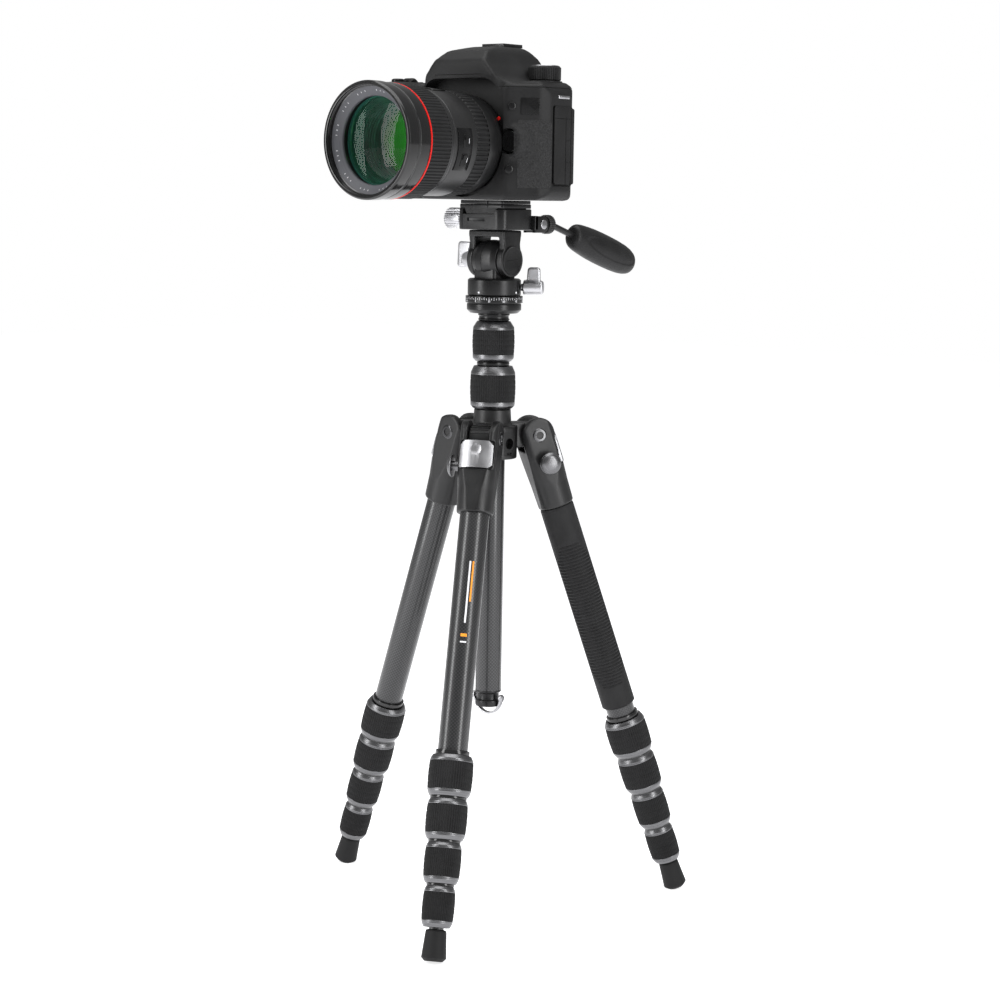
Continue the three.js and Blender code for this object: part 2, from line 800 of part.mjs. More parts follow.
part('clamp_knob', towardsX(turned([
  [0, -jawLine - 1],
  [3, -jawLine - 1],
  [3, -clampWidth / 2 - gap],
  [clampKnobRadius - 1, -clampWidth / 2 - gap],
  [clampKnobRadius - 1, -clampWidth / 2 - 6],
  [clampKnobRadius, -clampWidth / 2 - 6.5],
  [clampKnobRadius, -clampWidth / 2 - clampKnobLength - 6],
  [clampKnobRadius - 1, -clampWidth / 2 - clampKnobLength - 7],
  [0, -clampWidth / 2 - clampKnobLength - 7],
])).translate(0, 0, clampBottom + clampHeight / 2), silver, chassis);

function quickPlate() {
  const [x, y, r] = [plateWidth / 2, plateDepth / 2, 1.5];
  const slab = upwards(outline([[-x, -y, r], [x, -y, r], [x, y, r], [-x, y, r]]), plateBottom, plateTop, 2);
  const foot = acrossY(outline([
    [-dovetailFoot, channelFloor + gap],
    [dovetailFoot, channelFloor + gap],
    [dovetailTop, clampTop],
    [dovetailTop, plateBottom + 0.5],
    [-dovetailTop, plateBottom + 0.5],
    [-dovetailTop, clampTop],
  ]), -y, y);
  return join(slab, foot);
}

part('quick_release_plate', quickPlate(), blackMetal, chassis);

// The handle hangs on the clamp's fork: tongue, screwed collar, bent rod and moulded grip.
const handle = new THREE.Group();
handle.position.set(handleX, handleY, clampBottom + handlePivotRise);
chassis.add(handle);
const collarStart = handleForkRadius + gap + 0.3;
const collarEnd = collarStart + 8;
const rodEnd = new THREE.Vector2(collarEnd, 0).add(
  new THREE.Vector2(handleRodLength, 0).rotateAround(new THREE.Vector2(), -degrees(handleDroop)));

function handleRod() {
  const eye = cut(
    acrossX(tombstone(handleForkRadius - 0.6, collarStart + 1), -2.5, 2.5, 6)
      .rotateX(Math.PI / 2),
    towardsX(cylinder(1.6 + gap, -5, 5)));
  const collar = turned([
    [0, collarStart],
    [handleCollarRadius - 0.8, collarStart],
    [handleCollarRadius, collarStart + 0.8],
    [handleCollarRadius, collarEnd - 1.5],
    [handleCollarRadius - 2, collarEnd],
    [0, collarEnd],
  ]).rotateX(-Math.PI / 2);
  const rod = cylinder(handleRodRadius, -2, handleRodLength + 14, 12)
    .rotateX(-Math.PI / 2)
    .rotateX(-degrees(handleDroop))
    .translate(0, collarEnd, 0);
  return join(eye, collar, rod);
}

part('handle_rod', handleRod(), blackMetal, handle);

function handleGrip() {
  const widths = [[0, 0.55], [0.03, 0.74], [0.12, 0.86], [0.3, 0.97], [0.55, 1], [0.8, 0.95],
    [0.93, 0.78], [0.985, 0.48]];
  const body = turned([
    [0, 0],
    ...widths.map(([along, width]) => [width * handleGripRadius, along * handleGripLength]),
    [0, handleGripLength],
  ]).scale(0.8, 1, 1);
  const bore = cylinder(handleRodRadius + gap, -1, 14.5, 12);
  return cut(body, bore)
    .rotateX(-Math.PI / 2)
    .rotateX(-degrees(handleDroop))
    .translate(0, rodEnd.x, rodEnd.y);
}

part('handle_grip', handleGrip(), rubber, handle);

// ---- Camera -------------------------------------------------------------------------

const camera = new THREE.Group();
camera.position.z = plateTop + gap;
chassis.add(camera);

// Plan of the camera body, from above: hand grip on -X, lens housing in the middle.
function bodyPlan(inset) {
  const front = cameraMountFace;
  return outline([
    [cameraLeft + inset, cameraBack - inset, 8],
    [cameraLeft + inset, -44 + inset, 11],
    [-56 - inset, -46 + inset, 7],
    [-55 - inset, -24 + inset, 4],
    [-40, -24 + inset, 4],
    [-30, front + inset, 4],
    [30, front + inset, 4],
    [38, -21 + inset, 5],
    [56 - inset, -18 + inset, 3],
    [cameraRight - inset, -10, 5],
    [cameraRight - inset, cameraBack - inset, 8],
  ]);
}

const splitY = cameraBack - rearCoverDepth;
const behind = box(-120, 120, splitY, 60, -5, 200);
const ahead = box(-120, 120, -120, splitY - gap, -5, 200);
const portSeat = 1.8;

function cameraBody() {
  const shell = upwards(bodyPlan(0), 0, bodyHeight, 3, 2.5);
  const housing = towardsFront(turned([
    [0, 5],
    [housingRadius + 2, 5],
    [housingRadius, -cameraMountFace - 3],
    [housingRadius - 4, -cameraMountFace],
    [0, -cameraMountFace],
  ], wideSteps)).translate(0, 0, lensRise);
  const throat = towardsFront(cylinder(27, -cameraMountFace - 6, -cameraMountFace + 5, roundSteps))
    .translate(0, 0, lensRise);
  const buttonBoss = towardsFront(cylinder(lensButtonRadius + 2.5, 15, 26, roundSteps))
    .translate(lensButtonX, 0, lensRise + 2);
  const buttonBore = towardsFront(cylinder(lensButtonRadius + gap, 21, 40, roundSteps))
    .translate(lensButtonX, 0, lensRise + 2);
  const lid = box(-120, 120, -120, 120, bodyHeight, 200);
  const floor = box(-120, 120, -120, 120, -60, 0);
  const ports = box(cameraRight - portSeat - gap, cameraRight + 5, -portWidth / 2 - gap, portWidth / 2 + gap,
    portRise - portHeight / 2 - gap, portRise + portHeight / 2 + gap);
  const full = cut(join(shell, housing, buttonBoss), throat, buttonBore, lid, floor, ports);
  return meet(full, ahead);
}

part('camera_body', cameraBody(), bodyPlastic, camera);

function rearCover() {
  const shell = meet(upwards(bodyPlan(0), 0, bodyHeight, 3, 2.5), behind);
  const recess = cylinder(wheelRadius + gap, 0, 10, wideSteps)
    .rotateX(-Math.PI / 2)
    .translate(wheelX, cameraBack - 1.5, wheelRise);
  const screenFrame = acrossY(outline([
    [-36, 10, 3], [36, 10, 3], [36, 66, 3], [-36, 66, 3],
  ]), cameraBack - 1, cameraBack + 1.6, 2);
  return join(cut(shell, recess), screenFrame);
}

part('rear_cover', rearCover(), bodyPlastic, camera);

part('control_wheel', cylinder(wheelRadius, 0, 3, wideSteps)
  .rotateX(-Math.PI / 2)
  .translate(wheelX, cameraBack - 1.5 + gap, wheelRise), satinBlack, camera);

// Top plate with the prism hump, the eyepiece and the accessory shoe.
function topCover() {
  const bottom = bodyHeight + gap;
  const plateTopZ = bottom + topPlateHeight;
  const slab = upwards(bodyPlan(0.6), bottom, plateTopZ, 3, 1.5);
  const side = acrossX(outline([
    [cameraMountFace - 4, bottom + 1],
    [prismFront, bottom + 9, 2],
    [prismFront - 0.5, bottom + 19, 4],
    [prismFront + 9, prismTop - 5, 5],
    [-14, prismTop],
    [cameraBack - 6, prismTop, 5],
    [cameraBack + 4, prismTop - 9, 4],
    [cameraBack + 4, bottom + 1],
  ]), -60, 60, 4);
  const front = acrossY(outline([
    [-36, bottom + 1],
    [-27, bottom + 14, 8],
    [-17, prismTop, 9],
    [17, prismTop, 9],
    [27, bottom + 14, 8],
    [36, bottom + 1],
  ]), -60, 60, 4);
  const noseSides = upwards(outline([
    [-60, 60], [-60, -10, 20], [-20, -50, 12], [20, -50, 12], [60, -10, 20], [60, 60],
  ]), 0, 150, 4);
  const prism = meet(side, front, noseSides);
  const eyepiece = box(-14, 14, cameraBack, cameraBack + 9, bottom + 4, prismTop - 8);
  const [x, y0, y1] = [shoeWidth / 2, -6, -6 + shoeDepth];
  const shoe = box(-x, x, y0, y1, prismTop - 2, prismTop + 2.4);
  const shoeSlot = box(-x + 1.4, x - 1.4, y0 + 1.4, y1 + 1, prismTop + 0.4, prismTop + 2 - 0.4);
  const shoeMouth = box(-x + 4, x - 4, y0 + 1.4, y1 + 1, prismTop + 1, prismTop + 5);
  const dialSeat = cylinder(dialRadius + 1, bottom + 1, plateTopZ + 0.6, roundSteps).translate(dialX, dialY, 0);
  const buttonBore = cylinder(5 + gap, plateTopZ - 3, plateTopZ + 5).translate(shutterX, shutterY, 0);
  const floor = box(-120, 120, -120, 120, 0, bottom);
  const dialRoom = cylinder(dialRadius + 1, plateTopZ + 0.6, plateTopZ + 60, roundSteps)
    .translate(dialX, dialY, 0);
  return cut(join(slab, prism, eyepiece, shoe, dialSeat), shoeSlot, shoeMouth, buttonBore, floor, dialRoom);
}

const shutterX = -70;
const shutterY = -33;
part('top_cover', topCover(), bodyPlastic, camera);

const dialBottom = bodyHeight + gap + topPlateHeight + 0.6 + gap;
part('mode_dial', turned([
  [0, dialBottom],
  [dialRadius, dialBottom],
  [dialRadius, dialBottom + dialHeight - 0.8],
  [dialRadius - 0.8, dialBottom + dialHeight],
  [0, dialBottom + dialHeight],
]).translate(dialX, dialY, 0), satinBlack, camera);

part('shutter_button', turned([
  [0, bodyHeight + gap + topPlateHeight - 1.5 + gap],
  [5, bodyHeight + gap + topPlateHeight - 1.5 + gap],
  [5, bodyHeight + topPlateHeight + 2],
  [4, bodyHeight + topPlateHeight + 2.8],
  [0, bodyHeight + topPlateHeight + 3],
], smallSteps).translate(shutterX, shutterY, 0), satinBlack, camera);

part('lens_release_button', towardsFront(turned([
  [0, 24],
  [lensButtonRadius, 24],
  [lensButtonRadius, 28.5],
  [lensButtonRadius - 1, 29.5],
  [0, 29.5],
])).translate(lensButtonX, 0, lensRise + 2), glossBlack, camera);

const portDoor = acrossX(outline([
  [-portWidth / 2, portRise - portHeight / 2, 2],
  [portWidth / 2, portRise - portHeight / 2, 2],
  [portWidth / 2, portRise + portHeight / 2, 2],
  [-portWidth / 2, portRise + portHeight / 2, 2],
]), cameraRight - portSeat, cameraRight + 0.3, 2);
part('port_door', portDoor, rubber, camera);

// ---- Lens ---------------------------------------------------------------------------

const lens = new THREE.Group();
lens.position.set(0, cameraMountFace - gap, lensRise);
camera.add(lens);

const focusRingEnd = focusRingStart + focusRingLength;
const bandStart = focusRingEnd + gap;
const bandEnd = bandStart + bandLength;
const zoomRingStart = bandEnd + gap;
const zoomRingEnd = zoomRingStart + zoomRingLength;
const frontStart = zoomRingEnd + 1 + gap;

part('lens_barrel', towardsFront(turned([
  [0, 0],
  [lensBaseRadius - 4, 0],
  [lensBaseRadius, 4],
  [lensBaseRadius + 1.4, focusRingStart - gap],
  [lensSleeveRadius, focusRingStart - gap],
  [lensSleeveRadius, bandStart],
  [lensBandRadius - 0.4, bandStart],
  [lensBandRadius, bandEnd],
  [lensSleeveRadius, bandEnd],
  [lensSleeveRadius, zoomRingEnd],
  [lensBore, zoomRingEnd],
  [lensBore, 6],
  [0, 6],
], wideSteps)), glossBlack, lens);

function lensRing(start, length, radius) {
  const bore = lensSleeveRadius + lensRingGap;
  return towardsFront(turned([
    [bore, start],
    [radius, start],
    [radius, start + length],
    [bore, start + length],
  ], wideSteps));
}

part('focus_ring', lensRing(focusRingStart, focusRingLength, focusRingRadius), rubber, lens);
part('zoom_ring', lensRing(zoomRingStart, zoomRingLength, zoomRingRadius), rubber, lens);

part('front_barrel', towardsFront(turned([
  [lensBore - gap, 50],
  [lensBore - gap, zoomRingEnd + gap],
  [frontRadius - 1, zoomRingEnd + gap],
  [frontRadius - 0.6, frontStart + 12],
  [frontRadius, frontStart + 12.5],
  [frontRadius, lensLength - 1],
  [frontRadius - 1, lensLength],
  [frontRimRadius, lensLength],
  [frontRimRadius, lensLength - 4],
  [glassRadius + 2, lensLength - glassSetBack + 2],
  [glassRadius + gap, lensLength - glassSetBack],
  [glassRadius + gap, lensLength - glassSetBack - 8],
  [glassRadius, lensLength - glassSetBack - 8.1],
  [glassRadius, 50],
], wideSteps)), glossBlack, lens);

part('front_element', towardsFront(turned([
  [0, lensLength - glassSetBack - 7.5],
  [glassRadius, lensLength - glassSetBack - 7.5],
  [glassRadius, lensLength - glassSetBack - 5],
  [glassRadius * 0.6, lensLength - glassSetBack - 1.2],
  [0, lensLength - glassSetBack],
], wideSteps)), coatedGlass, lens);

// ---- Stand the whole assembly on the origin -----------------------------------------

model.updateMatrixWorld(true);
const bounds = new THREE.Box3().setFromObject(model, true);
const standing = new THREE.Group();
standing.add(model);
model.position.set(-(bounds.min.x + bounds.max.x) / 2, -(bounds.min.y + bounds.max.y) / 2, -bounds.min.z);
standing.updateMatrixWorld(true);

export default standing;
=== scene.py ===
import json
import math

import bmesh
import bpy
from mathutils import Matrix, Vector


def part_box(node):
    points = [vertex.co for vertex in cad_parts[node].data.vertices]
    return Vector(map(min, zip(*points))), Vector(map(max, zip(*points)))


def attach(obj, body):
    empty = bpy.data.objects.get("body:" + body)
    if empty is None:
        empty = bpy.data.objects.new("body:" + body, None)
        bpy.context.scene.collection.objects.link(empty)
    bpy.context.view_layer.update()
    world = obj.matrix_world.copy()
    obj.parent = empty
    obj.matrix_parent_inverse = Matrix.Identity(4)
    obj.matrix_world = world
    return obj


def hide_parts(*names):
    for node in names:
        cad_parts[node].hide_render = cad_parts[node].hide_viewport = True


# A camera with a zoom lens on a travel tripod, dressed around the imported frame.
# Pieces are modelled in millimetres in the part's own axes, then placed in the frame in metres.

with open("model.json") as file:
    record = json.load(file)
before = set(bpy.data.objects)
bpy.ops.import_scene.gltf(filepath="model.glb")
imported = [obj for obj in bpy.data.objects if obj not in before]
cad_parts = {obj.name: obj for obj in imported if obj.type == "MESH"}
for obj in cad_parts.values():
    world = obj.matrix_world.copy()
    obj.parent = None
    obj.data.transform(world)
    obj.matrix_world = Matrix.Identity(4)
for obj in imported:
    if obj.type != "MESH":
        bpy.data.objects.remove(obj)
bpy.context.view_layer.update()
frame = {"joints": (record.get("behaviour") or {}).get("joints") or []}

MM = 0.001
FULL_TURN = 2 * math.pi
LEGS = ("front", "right", "left")

# ---- Sizes shared with the frame, in millimetres --------------------------------------

GAP = 0.3
CASTING_WIDTH = 29
CASTING_LENGTH = 58
CASTING_END = 13.7
CASTING_TOP = 17.2
EAR = 13
TONGUE = 8.3
LATCH_WIDTH = 25
LATCH_TOP = 5
LATCH_HEIGHT = 20.5
BUTTON_DROP = 22
TUBE = 11
TUBE_STEP = 1.4
TUBE_WALL = 1.1
TUBE_TOP = 33
NEST_STEP = 1.5
COLLAR_TOP = 237.2
COLLAR_PITCH = 31.2
COLLAR_HEIGHT = 29.8
COLLARS = (16.35, 15.1, 13.45, 11.8)
LEG_LENGTH = 384.6
FOOT_HEIGHT = 22.2
FOOT_TOP = 7.65
FOOT_END = 9.05
FOOT_ROUND = 2.5


def joint(name):
    return next(entry for entry in frame["joints"] if entry["name"] == name)


def place_of(name):
    return Vector(joint(name)["pos_m"])


def axis_of(name):
    return Vector(joint(name)["axis"]).normalized()


def frame_at(origin, x, z):
    """The matrix from a part's own millimetres to the row frame's metres."""
    turn = Matrix((x, z.cross(x), z)).transposed().to_4x4()
    return Matrix.Translation(origin) @ turn @ Matrix.Scale(MM, 4)


def leg_frame(leg):
    return frame_at(place_of(f"{leg}_leg_swing"), -axis_of(f"{leg}_leg_swing"), -axis_of(f"{leg}_section_2_slide"))


X_AXIS, Z_AXIS = Vector((1, 0, 0)), Vector((0, 0, 1))
column_point = place_of("pan_turn")
hinge_plane = place_of("front_leg_swing").z
CHASSIS = frame_at(Vector((column_point.x, column_point.y, hinge_plane)), X_AXIS, Z_AXIS)
camera_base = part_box("camera_body")[0].z
CAMERA = frame_at(Vector((column_point.x, column_point.y, camera_base)), X_AXIS, Z_AXIS)


def height_of(node, end=0):
    """The lowest (0) or highest (1) point of a node above the hinge plane, in millimetres."""
    return (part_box(node)[end].z - hinge_plane) / MM


def place_z(name):
    return (place_of(name).z - hinge_plane) / MM


def height_in_camera(node, end=0):
    return (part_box(node)[end].z - camera_base) / MM

# ---- Shader groups --------------------------------------------------------------------


class Graph:
    """A node tree with short calls for its nodes and links."""

    def __init__(self, tree):
        self.tree = tree

    def node(self, kind, inputs=None, **settings):
        made = self.tree.nodes.new(kind)
        for key, value in settings.items():
            setattr(made, key, value)
        for key, value in (inputs or {}).items():
            self.feed(made.inputs[key], value)
        return made

    def feed(self, socket, value):
        if isinstance(value, bpy.types.NodeSocket):
            self.tree.links.new(value, socket)
        else:
            socket.default_value = value

    def math(self, operation, *values):
        made = self.tree.nodes.new("ShaderNodeMath")
        made.operation = operation
        for socket, value in zip(made.inputs, values):
            self.feed(socket, value)
        return made.outputs[0]

    def blend(self, factor, first, second):
        made = self.tree.nodes.new("ShaderNodeMix")
        made.data_type = "RGBA"
        self.feed(made.inputs["Factor"], factor)
        self.feed(made.inputs["A"], first)
        self.feed(made.inputs["B"], second)
        return made.outputs["Result"]

    def ramp(self, value, low, high, low_out=0.0, high_out=1.0):
        made = self.tree.nodes.new("ShaderNodeMapRange")
        for socket, number in zip(list(made.inputs)[:5], (value, low, high, low_out, high_out)):
            self.feed(socket, number)
        return made.outputs[0]


def shader_group(name, inputs, outputs, fill):
    tree = bpy.data.node_groups.new(name, "ShaderNodeTree")
    for label, kind, value in inputs:
        socket = tree.interface.new_socket(label, in_out="INPUT", socket_type=kind)
        if value is not None:
            socket.default_value = value
    for label, kind in outputs:
        tree.interface.new_socket(label, in_out="OUTPUT", socket_type=kind)
    graph = Graph(tree)
    source = tree.nodes.new("NodeGroupInput")
    sink = tree.nodes.new("NodeGroupOutput")
    fill(graph, source.outputs, sink.inputs)
    return tree


def fill_grain(graph, given, out):
    fine = graph.node("ShaderNodeTexNoise", {"Vector": given["Vector"], "Scale": given["Scale"], "Detail": 3.0})
    broad_scale = graph.math("MULTIPLY", given["Scale"], 0.03)
    broad = graph.node("ShaderNodeTexNoise", {"Vector": given["Vector"], "Scale": broad_scale, "Detail": 2.0})
    graph.feed(out["Height"], fine.outputs[0])
    mixed = graph.math("ADD", graph.math("MULTIPLY", fine.outputs[0], 0.4),
                       graph.math("MULTIPLY", broad.outputs[0], 0.6))
    graph.feed(out["Tone"], graph.ramp(mixed, 0.35, 0.65))


def fill_turning(graph, given, out):
    split = graph.node("ShaderNodeSeparateXYZ", {"Vector": given["Vector"]})
    along = graph.math("MULTIPLY", split.outputs["Y"], given["Lines per metre"])
    around = graph.math("MULTIPLY", split.outputs["X"], 12.0)
    stretched = graph.node("ShaderNodeCombineXYZ", {"X": around, "Y": along})
    lines = graph.node("ShaderNodeTexNoise", {"Vector": stretched.outputs[0], "Scale": 1.0, "Detail": 2.0})
    graph.feed(out["Height"], lines.outputs[0])
    graph.feed(out["Tone"], graph.ramp(lines.outputs[0], 0.3, 0.7))


def fill_weave(graph, given, out):
    """Strands along and around the tube, crossing over and under. The second output marks the top strands that run
    around the tube, brightest along their middles; it is painted sheen that lightens their colour in place of the
    fibres' highlight.
    """
    split = graph.node("ShaderNodeSeparateXYZ", {"Vector": given["Vector"]})
    u = graph.math("DIVIDE", split.outputs["X"], given["Strand"])
    v = graph.math("DIVIDE", split.outputs["Y"], given["Strand"])
    cell = graph.math("ADD", graph.math("FLOOR", u), graph.math("FLOOR", v))
    over = graph.math("LESS_THAN", graph.math("FLOORED_MODULO", cell, 2.0), 1.0)

    def strand(value):
        middle = graph.math("SUBTRACT", graph.math("FRACT", value), 0.5)
        return graph.math("SUBTRACT", 1.0, graph.math("MULTIPLY", graph.math("MULTIPLY", middle, middle), 3.2))

    across = graph.math("MULTIPLY", over, strand(v))
    along = graph.math("MULTIPLY", graph.math("SUBTRACT", 1.0, over), strand(u))
    graph.feed(out["Height"], graph.math("ADD", across, along))
    graph.feed(out["Painted sheen"], graph.math("MULTIPLY", over, strand(v)))


GRAIN = shader_group(
    "fine_grain",
    [("Vector", "NodeSocketVector", None), ("Scale", "NodeSocketFloat", 900.0)],
    [("Height", "NodeSocketFloat"), ("Tone", "NodeSocketFloat")],
    fill_grain,
)
TURNING = shader_group(
    "turning_marks",
    [("Vector", "NodeSocketVector", None), ("Lines per metre", "NodeSocketFloat", 4000.0)],
    [("Height", "NodeSocketFloat"), ("Tone", "NodeSocketFloat")],
    fill_turning,
)
WEAVE = shader_group(
    "carbon_weave",
    [("Vector", "NodeSocketVector", None), ("Strand", "NodeSocketFloat", 0.0013)],
    [("Height", "NodeSocketFloat"), ("Painted sheen", "NodeSocketFloat")],
    fill_weave,
)

# ---- Materials ------------------------------------------------------------------------


def new_material(name, **sockets):
    """A Principled material. Returns it with its graph and shader."""
    made = bpy.data.materials.new(name)
    made.use_nodes = True
    graph = Graph(made.node_tree)
    shader = next(node for node in made.node_tree.nodes if node.type == "BSDF_PRINCIPLED")
    for label, value in sockets.items():
        shader.inputs[label.replace("_", " ")].default_value = value
    return made, graph, shader


def shaded(graph, shader, tone, dark, light, rough_dark, rough_light):
    """Colour and roughness that follow one tone."""
    graph.feed(shader.inputs["Base Color"], graph.blend(tone, (*dark, 1), (*light, 1)))
    graph.feed(shader.inputs["Roughness"], graph.ramp(tone, 0.0, 1.0, rough_dark, rough_light))


def raised(graph, shader, height, depth, strength=1.0):
    bump = graph.node("ShaderNodeBump", {"Height": height, "Distance": depth, "Strength": strength})
    graph.feed(shader.inputs["Normal"], bump.outputs[0])


def grain_on(graph, scale):
    grain = graph.node("ShaderNodeGroup", node_tree=GRAIN)
    graph.feed(grain.inputs["Vector"], graph.node("ShaderNodeTexCoord").outputs["Object"])
    graph.feed(grain.inputs["Scale"], scale)
    return grain.outputs


def turning_on(graph, lines):
    marks = graph.node("ShaderNodeGroup", node_tree=TURNING)
    graph.feed(marks.inputs["Vector"], graph.node("ShaderNodeUVMap", uv_map="wrap").outputs[0])
    graph.feed(marks.inputs["Lines per metre"], lines)
    return marks.outputs


def grained(name, dark, light, roughness, scale, depth, uneven=0.08, **sockets):
    """A surface with a fine grain that shades its colour, gloss and relief."""
    sockets.setdefault("Specular_IOR_Level", 0.5 if "Metallic" in sockets else 0.2)
    made, graph, shader = new_material(name, **sockets)
    grain = grain_on(graph, scale)
    shaded(graph, shader, grain["Tone"], dark, light, roughness - uneven, roughness + uneven)
    raised(graph, shader, grain["Height"], depth)
    return made


def turned_metal(name, dark, light, roughness, lines, depth, **sockets):
    """Lathe-turned metal: fine rings that follow the piece's own wrap coordinates."""
    made, graph, shader = new_material(name, **sockets)
    marks = turning_on(graph, lines)
    shaded(graph, shader, marks["Tone"], dark, light, roughness - 0.06, roughness + 0.06)
    raised(graph, shader, marks["Height"], depth)
    return made


def grey(value):
    return (value, value, value * 1.03)


def carbon_fibre():
    made, graph, shader = new_material("carbon_fibre", Coat_Weight=0.5, Coat_Roughness=0.16, Metallic=0.25)
    where = graph.node("ShaderNodeUVMap", uv_map="wrap").outputs[0]
    weave = graph.node("ShaderNodeGroup", node_tree=WEAVE)
    graph.feed(weave.inputs["Vector"], where)
    # Painted sheen: the top strands that run around the tube get a lighter colour, most along their middles,
    # standing for the fibres' highlight; the weave's relief is bump.
    over = weave.outputs["Painted sheen"]
    shaded(graph, shader, over, (0.005, 0.005, 0.0055), (0.03, 0.0305, 0.032), 0.42, 0.3)
    raised(graph, shader, weave.outputs["Height"], 0.00005, 0.6)
    return made


def leatherette():
    made, graph, shader = new_material("grained_leatherette", Specular_IOR_Level=0.3)
    where = graph.node("ShaderNodeTexCoord").outputs["Object"]
    cells = graph.node("ShaderNodeTexVoronoi", {"Vector": where, "Scale": 1250.0}, feature="DISTANCE_TO_EDGE")
    warped = graph.node("ShaderNodeTexNoise", {"Vector": where, "Scale": 700.0, "Detail": 2.0})
    ridge = graph.math("ADD", graph.ramp(cells.outputs["Distance"], 0.0, 0.35), warped.outputs[0])
    tone = graph.ramp(ridge, 0.4, 1.3)
    shaded(graph, shader, tone, grey(0.003), grey(0.022), 0.72, 0.5)
    raised(graph, shader, ridge, 0.0002)
    return made


def coated_glass():
    made, graph, shader = new_material("coated_glass", IOR=1.22)
    shader.inputs["Transmission Weight"].default_value = 1.0
    shader.inputs["Metallic"].default_value = 0.0
    shaded(graph, shader, grain_on(graph, 60.0)["Tone"], (0.72, 0.9, 0.8), (0.78, 0.94, 0.85), 0.0, 0.02)
    return made


def baffle_green():
    made, graph, shader = new_material("inner_baffle_green", Specular_IOR_Level=0.3)
    shaded(graph, shader, turning_on(graph, 700.0)["Tone"], (0.006, 0.05, 0.036), (0.02, 0.12, 0.085), 0.6, 0.5)
    return made


def inner_green():
    made, graph, shader = new_material("inner_element_green", Metallic=0.35, Coat_Weight=0.8)
    shaded(graph, shader, grain_on(graph, 120.0)["Tone"], (0.015, 0.2, 0.008), (0.03, 0.34, 0.015), 0.16, 0.26)
    return made


casting_black = grained("cast_metal_satin_black", grey(0.006), grey(0.011), 0.4, 1500.0, 0.00004, Metallic=0.2)
anodised_black = turned_metal("anodised_black", grey(0.01), grey(0.018), 0.28, 5000.0, 0.00002, Metallic=0.55)
machined_black = grained("machined_black", grey(0.01), grey(0.017), 0.32, 2600.0, 0.00002, Metallic=0.5)
gloss_seal = turned_metal("gloss_black_seal", grey(0.008), grey(0.012), 0.16, 1500.0, 0.00001)
turned_silver = turned_metal("turned_silver", grey(0.1), grey(0.19), 0.3, 6000.0, 0.00003, Metallic=1.0,
                             Anisotropic=0.4)
cast_silver = grained("cast_silver", grey(0.27), grey(0.38), 0.34, 2200.0, 0.00003, Metallic=1.0)
bolt_chrome = grained("bolt_chrome", grey(0.34), grey(0.46), 0.16, 1800.0, 0.00001, Metallic=1.0)
grip_rubber = grained("grip_rubber", grey(0.005), grey(0.011), 0.6, 3000.0, 0.00006)
foot_rubber = grained("foot_rubber", grey(0.006), grey(0.012), 0.62, 1800.0, 0.00008)
foam_sleeve = grained("foam_sleeve", grey(0.009), grey(0.017), 0.6, 2600.0, 0.00012)
white_mark = grained("white_mark", grey(0.6), grey(0.75), 0.6, 900.0, 0.00001)
orange_mark = grained("orange_mark", (0.75, 0.26, 0.02), (0.85, 0.34, 0.04), 0.5, 900.0, 0.00001)
carbon = carbon_fibre()
leather = leatherette()
bolt_steel = grained("bolt_steel", grey(0.07), grey(0.12), 0.2, 1800.0, 0.00001, Metallic=1.0)
# Painted shade: a near-black matt stand-in for the shade inside sockets, holes, slots, grooves and recesses; it
# also serves as black print on the mode dial.
shade_and_print_black = grained("painted_shade_and_print_black", grey(0.004), grey(0.008), 0.5, 900.0, 0.00001)
turned_silver_plain = grained("brushed_strip_silver", grey(0.3), grey(0.44), 0.26, 2400.0, 0.00003, Metallic=1.0)
camera_plastic = grained("camera_plastic", grey(0.006), grey(0.012), 0.5, 1400.0, 0.00008)
gloss_plastic = grained("gloss_button_plastic", grey(0.004), grey(0.008), 0.18, 900.0, 0.00001)
door_rubber = grained("door_rubber", grey(0.006), grey(0.011), 0.6, 1600.0, 0.00006)
red_paint = grained("red_paint", (0.5, 0.008, 0.006), (0.6, 0.012, 0.008), 0.35, 900.0, 0.00001)
screen_gloss = grained("screen_gloss", grey(0.006), grey(0.01), 0.08, 200.0, 0.000001, 0.03)
satin_barrel = turned_metal("satin_lens_barrel", grey(0.006), grey(0.01), 0.34, 3000.0, 0.00001)
gloss_barrel = turned_metal("gloss_lens_barrel", grey(0.003), grey(0.006), 0.14, 1500.0, 0.000004)
ring_rubber = grained("lens_ring_rubber", grey(0.008), grey(0.014), 0.55, 2400.0, 0.00004)
ring_grey = turned_metal("front_ring_grey", (0.055, 0.056, 0.064), (0.07, 0.071, 0.08), 0.5, 2400.0, 0.00001)
bright_silver = grained("wing_silver", grey(0.42), grey(0.54), 0.34, 2200.0, 0.00003, Metallic=1.0)
turned_silver_knob = grained("knob_silver", grey(0.5), grey(0.62), 0.3, 2600.0, 0.00002, Metallic=1.0)
anodised_black_plain = grained("anodised_black_plain", grey(0.01), grey(0.018), 0.32, 2800.0, 0.00002, Metallic=0.5)
handle_plastic = grained("handle_plastic", grey(0.007), grey(0.012), 0.42, 1800.0, 0.00005)

# ---- Modelling helpers ----------------------------------------------------------------


